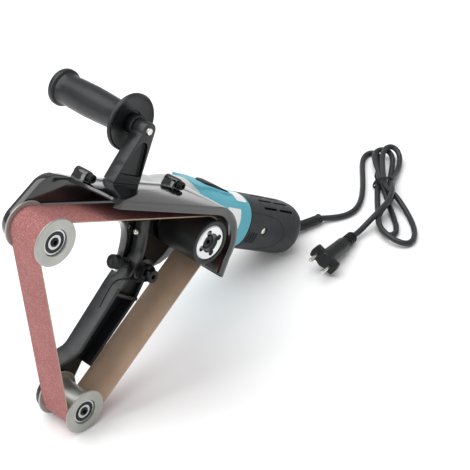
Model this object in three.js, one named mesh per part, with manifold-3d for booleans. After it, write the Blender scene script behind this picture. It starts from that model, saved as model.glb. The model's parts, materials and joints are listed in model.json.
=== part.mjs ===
// Handheld pipe belt sander: an angle grinder motor that drives an open sanding belt round a drum and
// two flanged rollers, one of them on a sprung arm, with a side handle and a tied mains lead.
//
// Millimetres, +Z up. The sander stands on its lower roller and its rear cover; the floor is z = 0.
// Everything but the lead is built in the tool's own axes: x runs back along the motor, y along the
// wheels' axles away from the belt, z up, with the origin where the spindle meets the motor's axis.
import * as THREE from "three";
import { mergeVertices } from "three/addons/utils/BufferGeometryUtils.js";
import Module from "manifold-3d";

const wasm = await Module();
wasm.setup();

// ---- driving dimensions ------------------------------------------------------------------------
const RAD = Math.PI / 180;
const PITCH = 31.2 * RAD; // the motor's tilt, rear end down
const SPINDLE_X = -9.3; // where the spindle stands on the floor plan
const SPINDLE_Y = 5.8;
const GAP = 0.3; // between pieces that touch

const DRUM = { x: 0, z: 0, r: 23.6 };
const UPPER = { x: -202.4, z: -22.15, r: 17.7 };
const LOWER = { x: -76.45, z: -194.85, r: 17.7 };
const FLANGE_R = 23.77;
const ROLLER_NEAR = -88;
const ROLLER_WIDTH = 44.7;
const DRUM_NEAR = -97.6;
const DRUM_FAR = -44.6;
const BELT_NEAR = -85.7;
const BELT_WIDTH = 40;
const BELT_THICK = 1.2;

const WALL = { near: -42, far: -33 }; // the guard's back wall
const PLATE = { near: -95, level: 38.6, slope: 0.066, thick: 4, left: -166 };
const WRAP = { z: -6, r: 44.6 }; // the guard's curl round the drum
const HANDLE = { x: -89.7, z: 87.8, near: -46.5, far: -32 };
const PIVOT = { x: -37.2, z: -50.6 };
const TRACKING = { y: -52, z: -46.6 };

const BODY = { r: 37, waist: 31.5, taperFrom: 66, taperTo: 118, squareness: 2.3 };
const SEAM = { x: 60, lean: 0.4 }; // gear housing to motor housing
const COVER_FRONT = 145;
const COVER_END = 252;
const SHAFT_R = 4;
const AXLE_R = 4.5;
const PINION_TEETH = 11;
const RING_TEETH = 33;

const CORD_R = 3.5;
const FLOOR_GAP = 0.1;
const HANK = { x: 378, y: -4, angle: 43.6 * RAD, height: 17, lift: 1.6 };

const SPINDLE_Z = FLANGE_R + LOWER.x * Math.sin(PITCH) - LOWER.z * Math.cos(PITCH);

// ---- finishes ----------------------------------------------------------------------------------
const finish = (color, roughness, metalness) => ({ color, roughness, metalness });
const BLACK_CAST = finish(0x14171a, 0.4, 0.3);
const BARE_CAST = finish(0xb9bbbb, 0.5, 0.85);
const TEAL = finish(0x5fb6c6, 0.45, 0);
const GREY_PLASTIC = finish(0x3a3d42, 0.55, 0);
const BLACK_PLASTIC = finish(0x1c1e20, 0.5, 0);
const RUBBER = finish(0x26282a, 0.75, 0);
const STEEL = finish(0x8f9296, 0.35, 0.9);
const BLACK_STEEL = finish(0x1b1b1c, 0.4, 0.7);
const ZINC = finish(0xd4d2c8, 0.3, 0.9);
const ROLLER_METAL = finish(0xa3a49f, 0.5, 0.7);
const COPPER = finish(0xb87333, 0.4, 0.9);
const CLOTH_BELT = finish(0x8a5558, 0.9, 0);
const CORD_SKIN = finish(0x45494c, 0.6, 0);
const LABEL = finish(0xeeeeec, 0.5, 0);

// ---- solids ------------------------------------------------------------------------------------
// A closed three.js geometry as a solid with its faces outward.
function solid(geometry) {
  geometry.deleteAttribute("normal");
  geometry.deleteAttribute("uv");
  const merged = mergeVertices(geometry, 1e-4);
  const index = merged.index.array;
  const corners = [];
  for (let i = 0; i < index.length; i += 3) {
    const [a, b, c] = [index[i], index[i + 1], index[i + 2]];
    if (a !== b && b !== c && c !== a) corners.push(a, b, c);
  }
  const vertProperties = new Float32Array(merged.attributes.position.array);
  const build = (list) =>
    new wasm.Manifold(new wasm.Mesh({ numProp: 3, vertProperties, triVerts: Uint32Array.from(list) }));
  const made = build(corners);
  if (made.volume() > 0) return made;
  return build(corners.reverse());
}

const joined = (...pieces) => pieces.reduce((a, b) => a.add(b));
const without = (body, ...tools) => tools.reduce((a, b) => a.subtract(b), body);

function toGeometry(manifold) {
  const mesh = manifold.getMesh();
  const geometry = new THREE.BufferGeometry();
  geometry.setAttribute("position", new THREE.BufferAttribute(mesh.vertProperties, 3));
  geometry.setIndex(new THREE.BufferAttribute(mesh.triVerts, 1));
  geometry.computeVertexNormals();
  return geometry;
}

// An outline in x and z, as deep along y as from near to far.
function slab(shape, near, far, curveSegments = 8) {
  const settings = { depth: far - near, bevelEnabled: false, curveSegments };
  const geometry = new THREE.ExtrudeGeometry(shape, settings);
  geometry.rotateX(Math.PI / 2);
  geometry.translate(0, far, 0);
  return solid(geometry);
}

// An outline in x and y, as tall as from low to high.
function standing(shape, low, high, curveSegments = 8) {
  const settings = { depth: high - low, bevelEnabled: false, curveSegments };
  const geometry = new THREE.ExtrudeGeometry(shape, settings);
  geometry.translate(0, 0, low);
  return solid(geometry);
}

function outline(points) {
  return new THREE.Shape(points.map(([a, b]) => new THREE.Vector2(a, b)));
}

// A profile of [radius, height] turned about y, or about x.
function turnedGeometry(profile, segments) {
  return new THREE.LatheGeometry(profile.map(([r, h]) => new THREE.Vector2(r, h)), segments);
}

function turned(profile, x = 0, z = 0, segments = 24) {
  const geometry = turnedGeometry(profile, segments);
  geometry.translate(x, 0, z);
  return solid(geometry);
}

function turnedAlongX(profile, y = 0, z = 0, segments = 24) {
  const geometry = turnedGeometry(profile, segments);
  geometry.rotateZ(-Math.PI / 2);
  geometry.translate(0, y, z);
  return solid(geometry);
}

const rodProfile = (r, from, to) => [[0, from], [r, from], [r, to], [0, to]];
const ringProfile = (inner, outer, from, to) => [
  [inner, from],
  [outer, from],
  [outer, to],
  [inner, to],
  [inner, from],
];

const rod = (r, near, far, x = 0, z = 0, segments = 20) => turned(rodProfile(r, near, far), x, z, segments);
const rodX = (r, from, to, y = 0, z = 0, segments = 20) =>
  turnedAlongX(rodProfile(r, from, to), y, z, segments);

function box(low, high) {
  const size = high.map((value, i) => value - low[i]);
  const geometry = new THREE.BoxGeometry(...size);
  geometry.translate(...high.map((value, i) => (value + low[i]) / 2));
  return solid(geometry);
}

function tube(points, radius, sides, steps) {
  const shape = new THREE.Shape();
  for (let i = 0; i < sides; i += 1) {
    const a = ((i + 0.5) / sides) * 2 * Math.PI;
    const [u, v] = [radius * Math.cos(a), radius * Math.sin(a)];
    if (i === 0) shape.moveTo(u, v);
    else shape.lineTo(u, v);
  }
  const path = new THREE.CatmullRomCurve3(points.map((p) => new THREE.Vector3(...p)));
  return solid(new THREE.ExtrudeGeometry(shape, { steps, extrudePath: path, bevelEnabled: false }));
}

// Turns a round body about x into a slightly square one.
function squared(geometry) {
  const n = BODY.squareness;
  const place = geometry.attributes.position;
  for (let i = 0; i < place.count; i += 1) {
    const [y, z] = [place.getY(i), place.getZ(i)];
    const r = Math.hypot(y, z);
    if (r < 1e-6) continue;
    const swell = (Math.abs(y / r) ** n + Math.abs(z / r) ** n) ** (-1 / n);
    place.setXYZ(i, place.getX(i), y * swell, z * swell);
  }
  return geometry;
}

function squareBody(profile, segments = 32) {
  const geometry = turnedGeometry(profile, segments);
  geometry.rotateZ(-Math.PI / 2);
  return solid(squared(geometry));
}

// Everything ahead of the sloping seam between the gear housing and the motor housing.
function aheadOfSeam(shift) {
  const reach = 200;
  const geometry = new THREE.BoxGeometry(reach, reach, reach);
  geometry.translate(-reach / 2 + shift, 0, 0);
  geometry.rotateY(-Math.atan(SEAM.lean));
  geometry.translate(SEAM.x, 0, 0);
  return solid(geometry);
}

// The space under the floor, in the tool's axes.
function underFloor() {
  const [wide, deep] = [800, 100];
  const geometry = new THREE.BoxGeometry(wide, wide, deep);
  geometry.translate(0, 0, 0.02 - deep / 2 - SPINDLE_Z);
  geometry.rotateY(-PITCH);
  return solid(geometry);
}

// ---- placing -----------------------------------------------------------------------------------
const sander = new THREE.Group();
const tool = new THREE.Group();
tool.rotation.y = PITCH;
tool.position.set(SPINDLE_X, SPINDLE_Y, SPINDLE_Z);
sander.add(tool);

function add(name, manifold, look, group = tool) {
  const mesh = new THREE.Mesh(toGeometry(manifold), new THREE.MeshStandardMaterial(look));
  mesh.name = name;
  group.add(mesh);
}

// ---- the guard and what it carries -------------------------------------------------------------
const plateTop = (x) => PLATE.level + PLATE.slope * x;

function wallOutline() {
  const endR = 19;
  const shape = new THREE.Shape();
  shape.moveTo(UPPER.x, UPPER.z - endR);
  shape.absarc(UPPER.x, UPPER.z, endR, -Math.PI / 2, -Math.PI * 1.2, true);
  shape.lineTo(-208.5, 2.5);
  shape.lineTo(-196, 16);
  shape.quadraticCurveTo(-184, 27, -170, 28);
  shape.lineTo(-158, plateTop(-158));
  shape.lineTo(0, PLATE.level);
  shape.absarc(0, WRAP.z, WRAP.r, Math.PI / 2, -10 * RAD, true);
  shape.lineTo(44, -28);
  shape.lineTo(28, -27);
  shape.lineTo(6, -47);
  shape.lineTo(-24, -62);
  shape.absarc(PIVOT.x, PIVOT.z, 16, -40 * RAD, -190 * RAD, true);
  shape.lineTo(-60, -22);
  shape.quadraticCurveTo(-66, -6, -80, -6);
  shape.lineTo(-140, -11);
  shape.quadraticCurveTo(-160, -14, -176, -34);
  return shape;
}

function guardSkin() {
  const shape = new THREE.Shape();
  const lip = -36;
  shape.moveTo(-172, plateTop(-172));
  shape.lineTo(0, PLATE.level);
  shape.absarc(0, WRAP.z, WRAP.r, Math.PI / 2, -10 * RAD, true);
  shape.lineTo(45, lip);
  shape.lineTo(45 - PLATE.thick, lip);
  shape.absarc(0, WRAP.z, WRAP.r - PLATE.thick, -10 * RAD, Math.PI / 2, false);
  shape.lineTo(-172, plateTop(-172) - PLATE.thick);
  const plan = outline([
    [PLATE.left - 2, WALL.far],
    [PLATE.left, -44],
    [-152, -89],
    [-146, PLATE.near],
    [60, PLATE.near],
    [60, WALL.far],
  ]);
  return slab(shape, PLATE.near, WALL.far, 12).intersect(standing(plan, -80, 80));
}

const LUGS = [
  { name: "lug_screw_front", x: -150.5 },
  { name: "lug_screw_rear", x: -22.7 },
];
const LUG_R = 5.5;
const LUG_NEAR = -50;

const lugHeight = (x) => plateTop(x) + LUG_R - 0.5;

function lug({ x }) {
  const z = lugHeight(x);
  const foot = box([x - 4.5, LUG_NEAR, plateTop(x) - 2], [x + 4.5, WALL.far, z]);
  return joined(rod(LUG_R, LUG_NEAR, WALL.far, x, z, 24), foot);
}

function guardFrame() {
  const upperBoss = rod(12, -42.9, WALL.far, UPPER.x, UPPER.z);
  let body = joined(slab(wallOutline(), WALL.near, WALL.far), guardSkin(), upperBoss);
  for (const place of LUGS) body = body.add(lug(place));
  const holes = [
    rod(20.4, -60, -20, 0, 0, 32),
    rod(AXLE_R + GAP, -60, -20, UPPER.x, UPPER.z),
    rod(SHAFT_R + GAP, -60, -20, PIVOT.x, PIVOT.z),
    ...LUGS.map(({ x }) => rod(2.8, -60, -36, x, lugHeight(x), 16)),
  ];
  add("guard_frame", without(body, ...holes), BLACK_CAST);
  for (const { name, x } of LUGS) add(name, socketScrew(2.5, 4.25, x, lugHeight(x)), BLACK_STEEL);
}

// A hexagon socket screw along y, its head on a lug's near end.
function socketScrew(shankR, headR, x, z) {
  const head = rod(headR, LUG_NEAR - 6.3, LUG_NEAR - GAP, x, z, 20);
  const shank = rod(shankR, LUG_NEAR - 1, LUG_NEAR + 13, x, z, 16);
  const socket = rod(2.2, LUG_NEAR - 7, LUG_NEAR - 3.5, x, z, 6);
  return without(joined(head, shank), socket);
}

function handleBracket() {
  const { x, z, near, far } = HANDLE;
  const shape = new THREE.Shape();
  shape.moveTo(-112, plateTop(-112) + GAP);
  shape.quadraticCurveTo(-105, 56, x - 7.5, z - 4);
  shape.absarc(x, z, 8.7, 205 * RAD, 10 * RAD, true);
  shape.lineTo(-75.6, plateTop(-75.6) + GAP);
  const pocket = new THREE.Shape();
  pocket.moveTo(-104, 41);
  pocket.quadraticCurveTo(-99, 58, -92, 74);
  pocket.lineTo(-86, 76);
  pocket.lineTo(-80, 41);
  const bore = rod(SHAFT_R + GAP, near - 5, far + 5, x, z, 24);
  const body = without(slab(shape, near, far), slab(pocket, near - 5, far - 6), bore);
  add("handle_bracket", body, BLACK_CAST);
}

function sideHandle() {
  const { x, z } = HANDLE;
  const [boreR, boreEnd] = [SHAFT_R + GAP, 22];
  const profile = [
    [0, boreEnd],
    [boreR, boreEnd],
    [boreR, -22],
    [28, -22],
    [30, -20],
    [28.5, -17],
    [15, -14],
    [16.5, 0],
    [17, 40],
    [16.2, 74],
    [19.5, 78],
    [19.5, 84],
    [17, 86],
    [0, 86],
  ];
  add("handle_grip", turned(profile, x, z), BLACK_PLASTIC);
  add("handle_stud", rod(SHAFT_R, -48, 21, x, z, 24), ZINC);
  const knurls = 16;
  const rim = new THREE.Shape();
  for (let i = 0; i < 2 * knurls; i += 1) {
    const a = (i / knurls) * Math.PI;
    const r = i % 2 ? 10.2 : 11;
    const [u, v] = [x + r * Math.cos(a), z + r * Math.sin(a)];
    if (i === 0) rim.moveTo(u, v);
    else rim.lineTo(u, v);
  }
  const nut = without(slab(rim, -31.7, -22.3), rod(boreR, -40, -10, x, z, 24));
  add("handle_lock_nut", nut, BLACK_STEEL);
}

// ---- drum, rollers and belt --------------------------------------------------------------------
function drum() {
  const lobes = 4;
  const face = DRUM_NEAR + 0.2;
  let pocket = rod(10.5, face - 5, face + 4, 0, 0, 32);
  for (let i = 0; i < lobes; i += 1) {
    const a = (35 + (360 / lobes) * i) * RAD;
    pocket = pocket.add(rod(3.4, face - 5, face + 4, 12.6 * Math.cos(a), 12.6 * Math.sin(a), 16));
  }
  const hub = turned(ringProfile(6.3, 18.5, face, -47), 0, 0, 32);
  const screwSeat = rod(8, face - 5, face + 9, 0, 0, 32);
  add("drum_hub", without(hub, pocket, screwSeat), BARE_CAST);
  add("drum_sleeve", turned(ringProfile(18.8, DRUM.r, DRUM_NEAR, DRUM_FAR), 0, 0, 40), RUBBER);
  const head = rod(6.8, face + 3, face + 8.7, 0, 0, 24);
  const shank = rod(3, face + 8, -80, 0, 0, 16);
  const socket = rod(2.9, face - 1, face + 6, 0, 0, 6);
  add("drum_screw", without(joined(head, shank), socket), BLACK_STEEL);
}

function rollerProfile() {
  const [near, far] = [ROLLER_NEAR, ROLLER_NEAR + ROLLER_WIDTH];
  const [lip, seat, bore, seatDepth] = [2, 13.3, 8.5, 10];
  return [
    [seat, near],
    [FLANGE_R, near],
    [FLANGE_R, near + lip],
    [UPPER.r, near + lip + 0.25],
    [UPPER.r, far - lip - 0.25],
    [FLANGE_R, far - lip],
    [FLANGE_R, far],
    [seat, far],
    [seat, far - seatDepth],
    [bore, far - seatDepth],
    [bore, near + seatDepth],
    [seat, near + seatDepth],
    [seat, near],
  ];
}

function roller(prefix, { x, z }, axleFar) {
  const [near, far] = [ROLLER_NEAR, ROLLER_NEAR + ROLLER_WIDTH];
  const bearing = (from) => ringProfile(AXLE_R + GAP, 13, from, from + 7.7);
  add(`${prefix}_roller`, turned(rollerProfile(), x, z, 32), ROLLER_METAL);
  add(`${prefix}_bearing_near`, turned(bearing(near + 2), x, z), STEEL);
  add(`${prefix}_bearing_far`, turned(bearing(far - 9.7), x, z), STEEL);
  const socket = rod(2.6, near - 1, near + 4, x, z, 6);
  add(`${prefix}_axle`, without(rod(AXLE_R, near + 1, axleFar, x, z, 24), socket), BLACK_STEEL);
}

function axleNut(name, { x, z }, near) {
  const nut = without(rod(8.2, near, near + 5, x, z, 6), rod(AXLE_R + GAP, near - 2, near + 8, x, z, 24));
  add(name, nut, BLACK_STEEL);
}

// The belt's closed line round the wheels, a given distance out from each wheel's surface.
function beltLine(offset) {
  const wheels = [UPPER, LOWER, DRUM];
  const normals = wheels.map((a, i) => {
    const b = wheels[(i + 1) % wheels.length];
    const [dx, dz] = [b.x - a.x, b.z - a.z];
    const gap = Math.hypot(dx, dz);
    const along = (a.r - b.r) / gap;
    const across = Math.sqrt(1 - along * along);
    return Math.atan2((dz * along - dx * across) / gap, (dx * along + dz * across) / gap);
  });
  const path = new THREE.Shape();
  wheels.forEach(({ x, z, r }, i) => {
    const from = normals[(i + wheels.length - 1) % wheels.length];
    let to = normals[i];
    while (to < from) to += 2 * Math.PI;
    path.absarc(x, z, r + offset, from, to, false);
  });
  return path;
}

function sandingBelt() {
  const shape = beltLine(GAP + BELT_THICK);
  shape.holes.push(beltLine(GAP));
  add("sanding_belt", slab(shape, BELT_NEAR, BELT_NEAR + BELT_WIDTH, 8), CLOTH_BELT);
}

// ---- the sprung arm ----------------------------------------------------------------------------
// A strip of even thickness along a line of points, in x and z.
function strip(points, thick) {
  const half = thick / 2;
  const sides = points.map(([x, z], i) => {
    const before = points[Math.max(i - 1, 0)];
    const after = points[Math.min(i + 1, points.length - 1)];
    const [dx, dz] = [after[0] - before[0], after[1] - before[1]];
    const long = Math.hypot(dx, dz);
    const [nx, nz] = [(-dz / long) * half, (dx / long) * half];
    return [[x + nx, z + nz], [x - nx, z - nz]];
  });
  return outline([...sides.map((s) => s[0]), ...sides.map((s) => s[1]).reverse()]);
}

function tensionArm() {
  const flangeNear = -58;
  const webFar = -36;
  const tongue = strip([[-57.5, 6.5], [-51, -16], [-46, -36], [-51, -50], [-59, -73]], 4);
  const leftRib = strip([[-55, -62], [-59, -73], [-81.7, -146], [-102, -160]], 4);
  const rightRib = strip([[-25, -62], [-27, -84], [-56, -160]], 4);
  const crossRib = strip([[-61, -79], [-27, -83]], 3.5);
  const web = outline([
    [-57, -74],
    [-81.7, -146],
    [-101, -159],
    [-98, -186],
    [-56, -180],
    [-54, -160],
    [-27, -84],
    [-26, -73],
  ]);
  const upper = outline([[-50, -50], [-60, -76], [-27, -84], [-25, -56]]);
  const body = joined(
    slab(tongue, flangeNear - 2, -43.5),
    rod(13, -60, -42.5, PIVOT.x, PIVOT.z),
    slab(upper, -60, -42.5),
    slab(leftRib, flangeNear, webFar),
    slab(rightRib, flangeNear + 3, webFar),
    slab(crossRib, flangeNear, webFar),
    slab(web, -41.5, webFar),
    rod(21, -42.9, webFar, LOWER.x, LOWER.z),
    rod(12, -42.9, -33, LOWER.x, LOWER.z),
  );
  const rollerSpace = rod(FLANGE_R + 1.5, -60, -43, LOWER.x, LOWER.z, 40);
  const earSpace = rod(17, -42.3, -30, PIVOT.x, PIVOT.z, 40);
  const holes = [
    rod(SHAFT_R + GAP, -70, -30, PIVOT.x, PIVOT.z, 24),
    rod(AXLE_R + GAP, -60, -20, LOWER.x, LOWER.z, 24),
    rodX(2.7, -70, -44.5, TRACKING.y, TRACKING.z, 16),
    rodX(2.1, -60, -45, -48, -14, 12),
  ];
  add("tension_arm", without(body, rollerSpace, earSpace, ...holes), BLACK_CAST);
}

function pivotBolt() {
  const { x, z } = PIVOT;
  const socket = rod(2.9, -76, -71, x, z, 6);
  const bolt = joined(rod(7, -75, -69.3, x, z, 24), rod(SHAFT_R, -70, -31, x, z, 24));
  add("pivot_bolt", without(bolt, socket), BLACK_STEEL);
}

function torsionSpring() {
  const [turns, r, from, rise] = [2.75, 8.5, -67.9, 2.2];
  const points = [];
  const perTurn = 8;
  for (let i = 0; i <= turns * perTurn; i += 1) {
    const a = (i / perTurn) * 2 * Math.PI;
    points.push([PIVOT.x + r * Math.cos(a), from + (i / perTurn) * rise, PIVOT.z + r * Math.sin(a)]);
  }
  const leg = [[-52, -62.4, -60], [-68, -62.2, -60.5], [-74.5, -60, -66], [-76.5, -58, -80], [-78.4, -58, -94]];
  add("torsion_spring", tube([...points, ...leg], 0.9, 6, 36), BLACK_STEEL);
}

function trackingScrew() {
  const { y, z } = TRACKING;
  const knurls = 14;
  const rim = new THREE.Shape();
  for (let i = 0; i < 2 * knurls; i += 1) {
    const a = (i / knurls) * Math.PI;
    const r = i % 2 ? 7 : 7.5;
    if (i === 0) rim.moveTo(r, 0);
    else rim.lineTo(r * Math.cos(a), r * Math.sin(a));
  }
  const knob = new THREE.ExtrudeGeometry(rim, { depth: 8.5, bevelEnabled: false });
  knob.rotateY(Math.PI / 2);
  knob.translate(-79, y, z);
  add("tracking_knob", joined(solid(knob), rodX(2.3, -72, -46, y, z, 16)), BLACK_STEEL);

  const [turns, perTurn, r, from, to] = [4, 8, 4.6, -69.2, -55.2];
  const points = [];
  for (let i = 0; i <= turns * perTurn; i += 1) {
    const a = (i / perTurn) * 2 * Math.PI;
    const x = from + ((to - from) * i) / (turns * perTurn);
    points.push([x, y + r * Math.cos(a), z + r * Math.sin(a)]);
  }
  add("tracking_spring", tube(points, 0.7, 5, 32), STEEL);

  const head = rodX(3.4, -58, -54.6, -48, -14, 16);
  add("arm_screw", joined(head, rodX(1.8, -55, -46, -48, -14, 12)), ZINC);
}

// ---- gear head ---------------------------------------------------------------------------------
const bodyTaper = (x) => BODY.r - ((BODY.r - BODY.waist) * (x - BODY.taperFrom)) / (BODY.taperTo - BODY.taperFrom);

function gearHousing() {
  const head = turned([[0, -24.1], [30, -24.1], [30, 15], [27, 22], [20, 25.5], [0, 25.5]], 0, 0, 36);
  const neck = squareBody([[0, -4], [22, -4], [31, 6], [35.5, 22], [BODY.r, 38], [BODY.r, 66], [35.5, 80.2], [0, 80.2]]);
  const flatSide = box([-60, -60, -60], [50, -31.5, 60]);
  const coverSpace = rod(29.4, -50, -24.1, 0, 0, 36);
  const hollow = [
    rod(26, -30, 10, 0, 0, 32),
    rod(5.3, 5, 17, 0, 0, 20),
    rodX(9, 10, 60, 0, 0),
    rodX(13.3, 47, 60, 0, 0),
    rodX(29.3, 57, 90, 0, 0, 32),
    rod(5.3, 14.5, 40, -14, 0, 20),
    rod(2.8, 5, 40, -14, 0, 16),
  ];
  const body = joined(head, neck).subtract(flatSide).intersect(aheadOfSeam(0));
  add("gear_housing", without(body, coverSpace, ...hollow), BARE_CAST);
  const cover = [
    [9, -43.8],
    [20, -43.8],
    [20, -32.7],
    [29, -32.7],
    [29, -24.4],
    [16.3, -24.4],
    [16.3, -32],
    [9, -32],
    [9, -43.8],
  ];
  add("bearing_cover", turned(cover, 0, 0, 32), BARE_CAST);
  const button = joined(rod(5, 18, 29.5, -14, 0, 24), rod(2.5, 8, 20, -14, 0, 16));
  add("spindle_lock_button", button, BLACK_PLASTIC);
}

function grooves(teeth, make) {
  let all = make(0);
  for (let i = 1; i < teeth; i += 1) all = all.add(make((i / teeth) * 2 * Math.PI));
  return all;
}

// Bevel gears of 90 degrees between their axes. Their teeth stand between grooves cut below the pitch cones.
function gears() {
  const lean = Math.atan(PINION_TEETH / RING_TEETH);
  const ring = turned(
    [[7.3, -15], [21, -15], [24, -8.4], [15, -5.4], [7.3, -5.4], [7.3, -15]],
    0,
    0,
    RING_TEETH,
  );
  const ringGrooves = grooves(RING_TEETH, (turn) => {
    const cut = new THREE.BoxGeometry(13, 2.6, 1.9);
    cut.rotateZ(-lean);
    cut.translate(19.8, -7, 0);
    cut.rotateY(turn);
    return solid(cut);
  });
  add("ring_gear", ring.subtract(ringGrooves), STEEL);
  const pinion = turnedAlongX([[3.3, 15.5], [4.7, 15.5], [7.6, 24], [5.6, 25.6], [3.3, 25.6], [3.3, 15.5]]);
  const pinionGrooves = grooves(PINION_TEETH, (turn) => {
    const cut = new THREE.BoxGeometry(14, 1.6, 1.2);
    cut.rotateZ(lean);
    cut.translate(19.75, 6.25, 0);
    cut.rotateX(turn);
    return solid(cut);
  });
  add("pinion", pinion.subtract(pinionGrooves), STEEL);
  const spindle = [[0, -85], [6, -85], [6, -47], [7, -46.5], [7, -4], [5, -3], [5, 15.5], [0, 15.5]];
  const threaded = rod(3.3, -90, -79, 0, 0, 16);
  add("spindle", turned(spindle).subtract(threaded), STEEL);
  add("spindle_bearing", turned(ringProfile(7.3, 16, -31.7, -24.7)), STEEL);
}

// ---- motor -------------------------------------------------------------------------------------
function armature() {
  const shaft = [[0, 12], [3, 12], [3, 26], [SHAFT_R, 26.5], [SHAFT_R, 206], [0, 206]];
  const bore = SHAFT_R + GAP;
  add("armature_shaft", turnedAlongX(shaft, 0, 0, 24), STEEL);
  add("front_bearing", turnedAlongX(ringProfile(bore, 13, 47.5, 56.5)), STEEL);
  add("rear_bearing", turnedAlongX(ringProfile(bore, 11, 196.5, 204.5)), STEEL);
  add("armature_core", turnedAlongX(ringProfile(bore, 17, 84, 124)), STEEL);
  add("commutator", turnedAlongX(ringProfile(bore, 11, 150, 166)), COPPER);
  add("field_core", turnedAlongX(ringProfile(17.6, 28.2, 80, 128)), STEEL);
  const blades = 7;
  let fan = turnedAlongX(ringProfile(bore, 25, 72, 74));
  for (let i = 0; i < blades; i += 1) {
    const blade = new THREE.BoxGeometry(9.5, 12, 1.2);
    blade.rotateX(25 * RAD);
    blade.translate(67.6, 18, 0);
    blade.rotateX((i / blades) * 2 * Math.PI);
    fan = fan.add(solid(blade));
  }
  add("cooling_fan", fan.add(turnedAlongX(ringProfile(bore, 8, 63, 73))), BLACK_PLASTIC);
  for (const [side, sign] of [["near", -1], ["far", 1]]) {
    const [a, b] = [11.4 * sign, 25 * sign];
    add(`carbon_brush_${side}`, box([154, Math.min(a, b), -4], [162, Math.max(a, b), 4]), BLACK_STEEL);
  }
}

function housingOuter(swell) {
  const r = (value) => value + swell;
  return squareBody([
    [0, 40],
    [r(BODY.r), 40],
    [r(BODY.r), BODY.taperFrom],
    [r(BODY.waist), BODY.taperTo],
    [r(31.2), COVER_FRONT],
    [0, COVER_FRONT],
  ]);
}

function motorHousing() {
  const hollow = rodX(28.6, 30, 160, 0, 0, 32);
  const fanSpace = rodX(29.3, 30, 78, 0, 0, 32);
  const slot = box([86, -3.5, 20], [100, 3.5, 60]);
  const body = without(housingOuter(0), aheadOfSeam(GAP), hollow, fanSpace, slot);
  add("motor_housing", body, TEAL);

  const slider = outline([[70, 34], [72.5, 38.2], [84, 38.4], [116, 32.6], [118, 30], [118, 24], [70, 24]]);
  const plan = outline([[70, -6], [74, -9], [114, -9], [118, -6], [118, 6], [114, 9], [74, 9], [70, 6]]);
  const cap = slab(slider, -9, 9).intersect(standing(plan, 0, 60)).subtract(housingOuter(0.5));
  add("switch_slider", cap.add(box([91, -2.6, 29], [95, 2.6, 36])), BLACK_PLASTIC);
}

// A thin label that follows the motor housing, between two angles above the near side.
function label(name, from, to, low, high) {
  const reach = 60;
  const point = (a) => [-reach * Math.cos(a * RAD), reach * Math.sin(a * RAD)];
  const wedge = outline([[0, 0], point(low), point((low + high) / 2), point(high)]);
  const geometry = new THREE.ExtrudeGeometry(wedge, { depth: to - from, bevelEnabled: false });
  geometry.rotateX(Math.PI / 2);
  geometry.rotateZ(Math.PI / 2);
  geometry.translate(from, 0, 0);
  const skin = housingOuter(0.75).subtract(housingOuter(GAP));
  add(name, skin.intersect(solid(geometry)), LABEL);
}

const COVER_SCREW = { x: 174, z: 0.5 };

function rearCover() {
  const outer = squareBody([
    [0, COVER_FRONT + GAP],
    [31.2, COVER_FRONT + GAP],
    [31.4, 190],
    [31.2, 215],
    [30.9, 235],
    [28.9, 244],
    [25.2, 250],
    [20, COVER_END],
    [0, COVER_END],
  ]);
  const inside = rodX(28.2, 130, 196, 0, 0, 32);
  const behind = rodX(27, 205, 243, 0, 0, 32);
  const cuts = [rodX(11.3, 190, 220), rodX(6.3, 230, 260, 0, 0, 24)];
  for (let i = 0; i < 4; i += 1) {
    const a = (45 + 90 * i) * RAD;
    cuts.push(rodX(5.5, 190, 210, 19.5 * Math.cos(a), 19.5 * Math.sin(a), 16));
  }
  for (let row = 0; row < 2; row += 1) {
    for (let i = 0; i < 3; i += 1) {
      const x = 186 + 13 * i;
      const slot = new THREE.BoxGeometry(9, 2.2, 60);
      slot.translate(0, 0, 30);
      slot.rotateX((row ? 24 : 12) * RAD);
      slot.translate(x, 0, 0);
      cuts.push(solid(slot.clone()));
      cuts.push(solid(slot.clone().rotateZ(Math.PI).translate(2 * x, 0, 0)));
    }
  }
  for (const sign of [-1, 1]) {
    const reach = (a, b) => [Math.min(a * sign, b * sign), Math.max(a * sign, b * sign)];
    cuts.push(rod(4.6, ...reach(29.2, 40), COVER_SCREW.x, COVER_SCREW.z, 20));
    cuts.push(rod(2.3, ...reach(20, 40), COVER_SCREW.x, COVER_SCREW.z, 16));
    const name = `cover_screw_${sign < 0 ? "near" : "far"}`;
    const head = rod(3.6, ...reach(29.5, 31), COVER_SCREW.x, COVER_SCREW.z, 20);
    const shank = rod(1.9, ...reach(24, 30), COVER_SCREW.x, COVER_SCREW.z, 12);
    add(name, joined(head, shank), ZINC);
  }
  add("rear_cover", without(outer, inside, behind, underFloor(), ...cuts), GREY_PLASTIC);
}

// ---- the lead ----------------------------------------------------------------------------------
// A place on the hank, along its length from the tie and across to the right, on the floor plan.
function onHank(along, across) {
  const [c, s] = [Math.cos(HANK.angle), Math.sin(HANK.angle)];
  return [HANK.x + along * c + across * s, HANK.y + along * s - across * c];
}

const LEAD_Z = CORD_R + FLOOR_GAP;
const lay = (points, z) => points.map(([x, y]) => [x, y, z]);

function cordGuard() {
  const [fromX, bend] = [244, 1.2];
  const [c, s] = [Math.cos(PITCH), Math.sin(PITCH)];
  const onAxis = (x) => [SPINDLE_X + x * c, SPINDLE_Y, SPINDLE_Z - x * s];
  const path = [
    onAxis(fromX),
    onAxis(253),
    onAxis(262),
    [229, 6, 10.4],
    [240, 4.6, 7.9 + bend / 2],
    [253, 2.4, 7.6],
    [266.2, 0.4, 7.4],
  ];
  add("cord_guard", tube(path, 6, 10, 10), RUBBER, sander);
}

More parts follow.
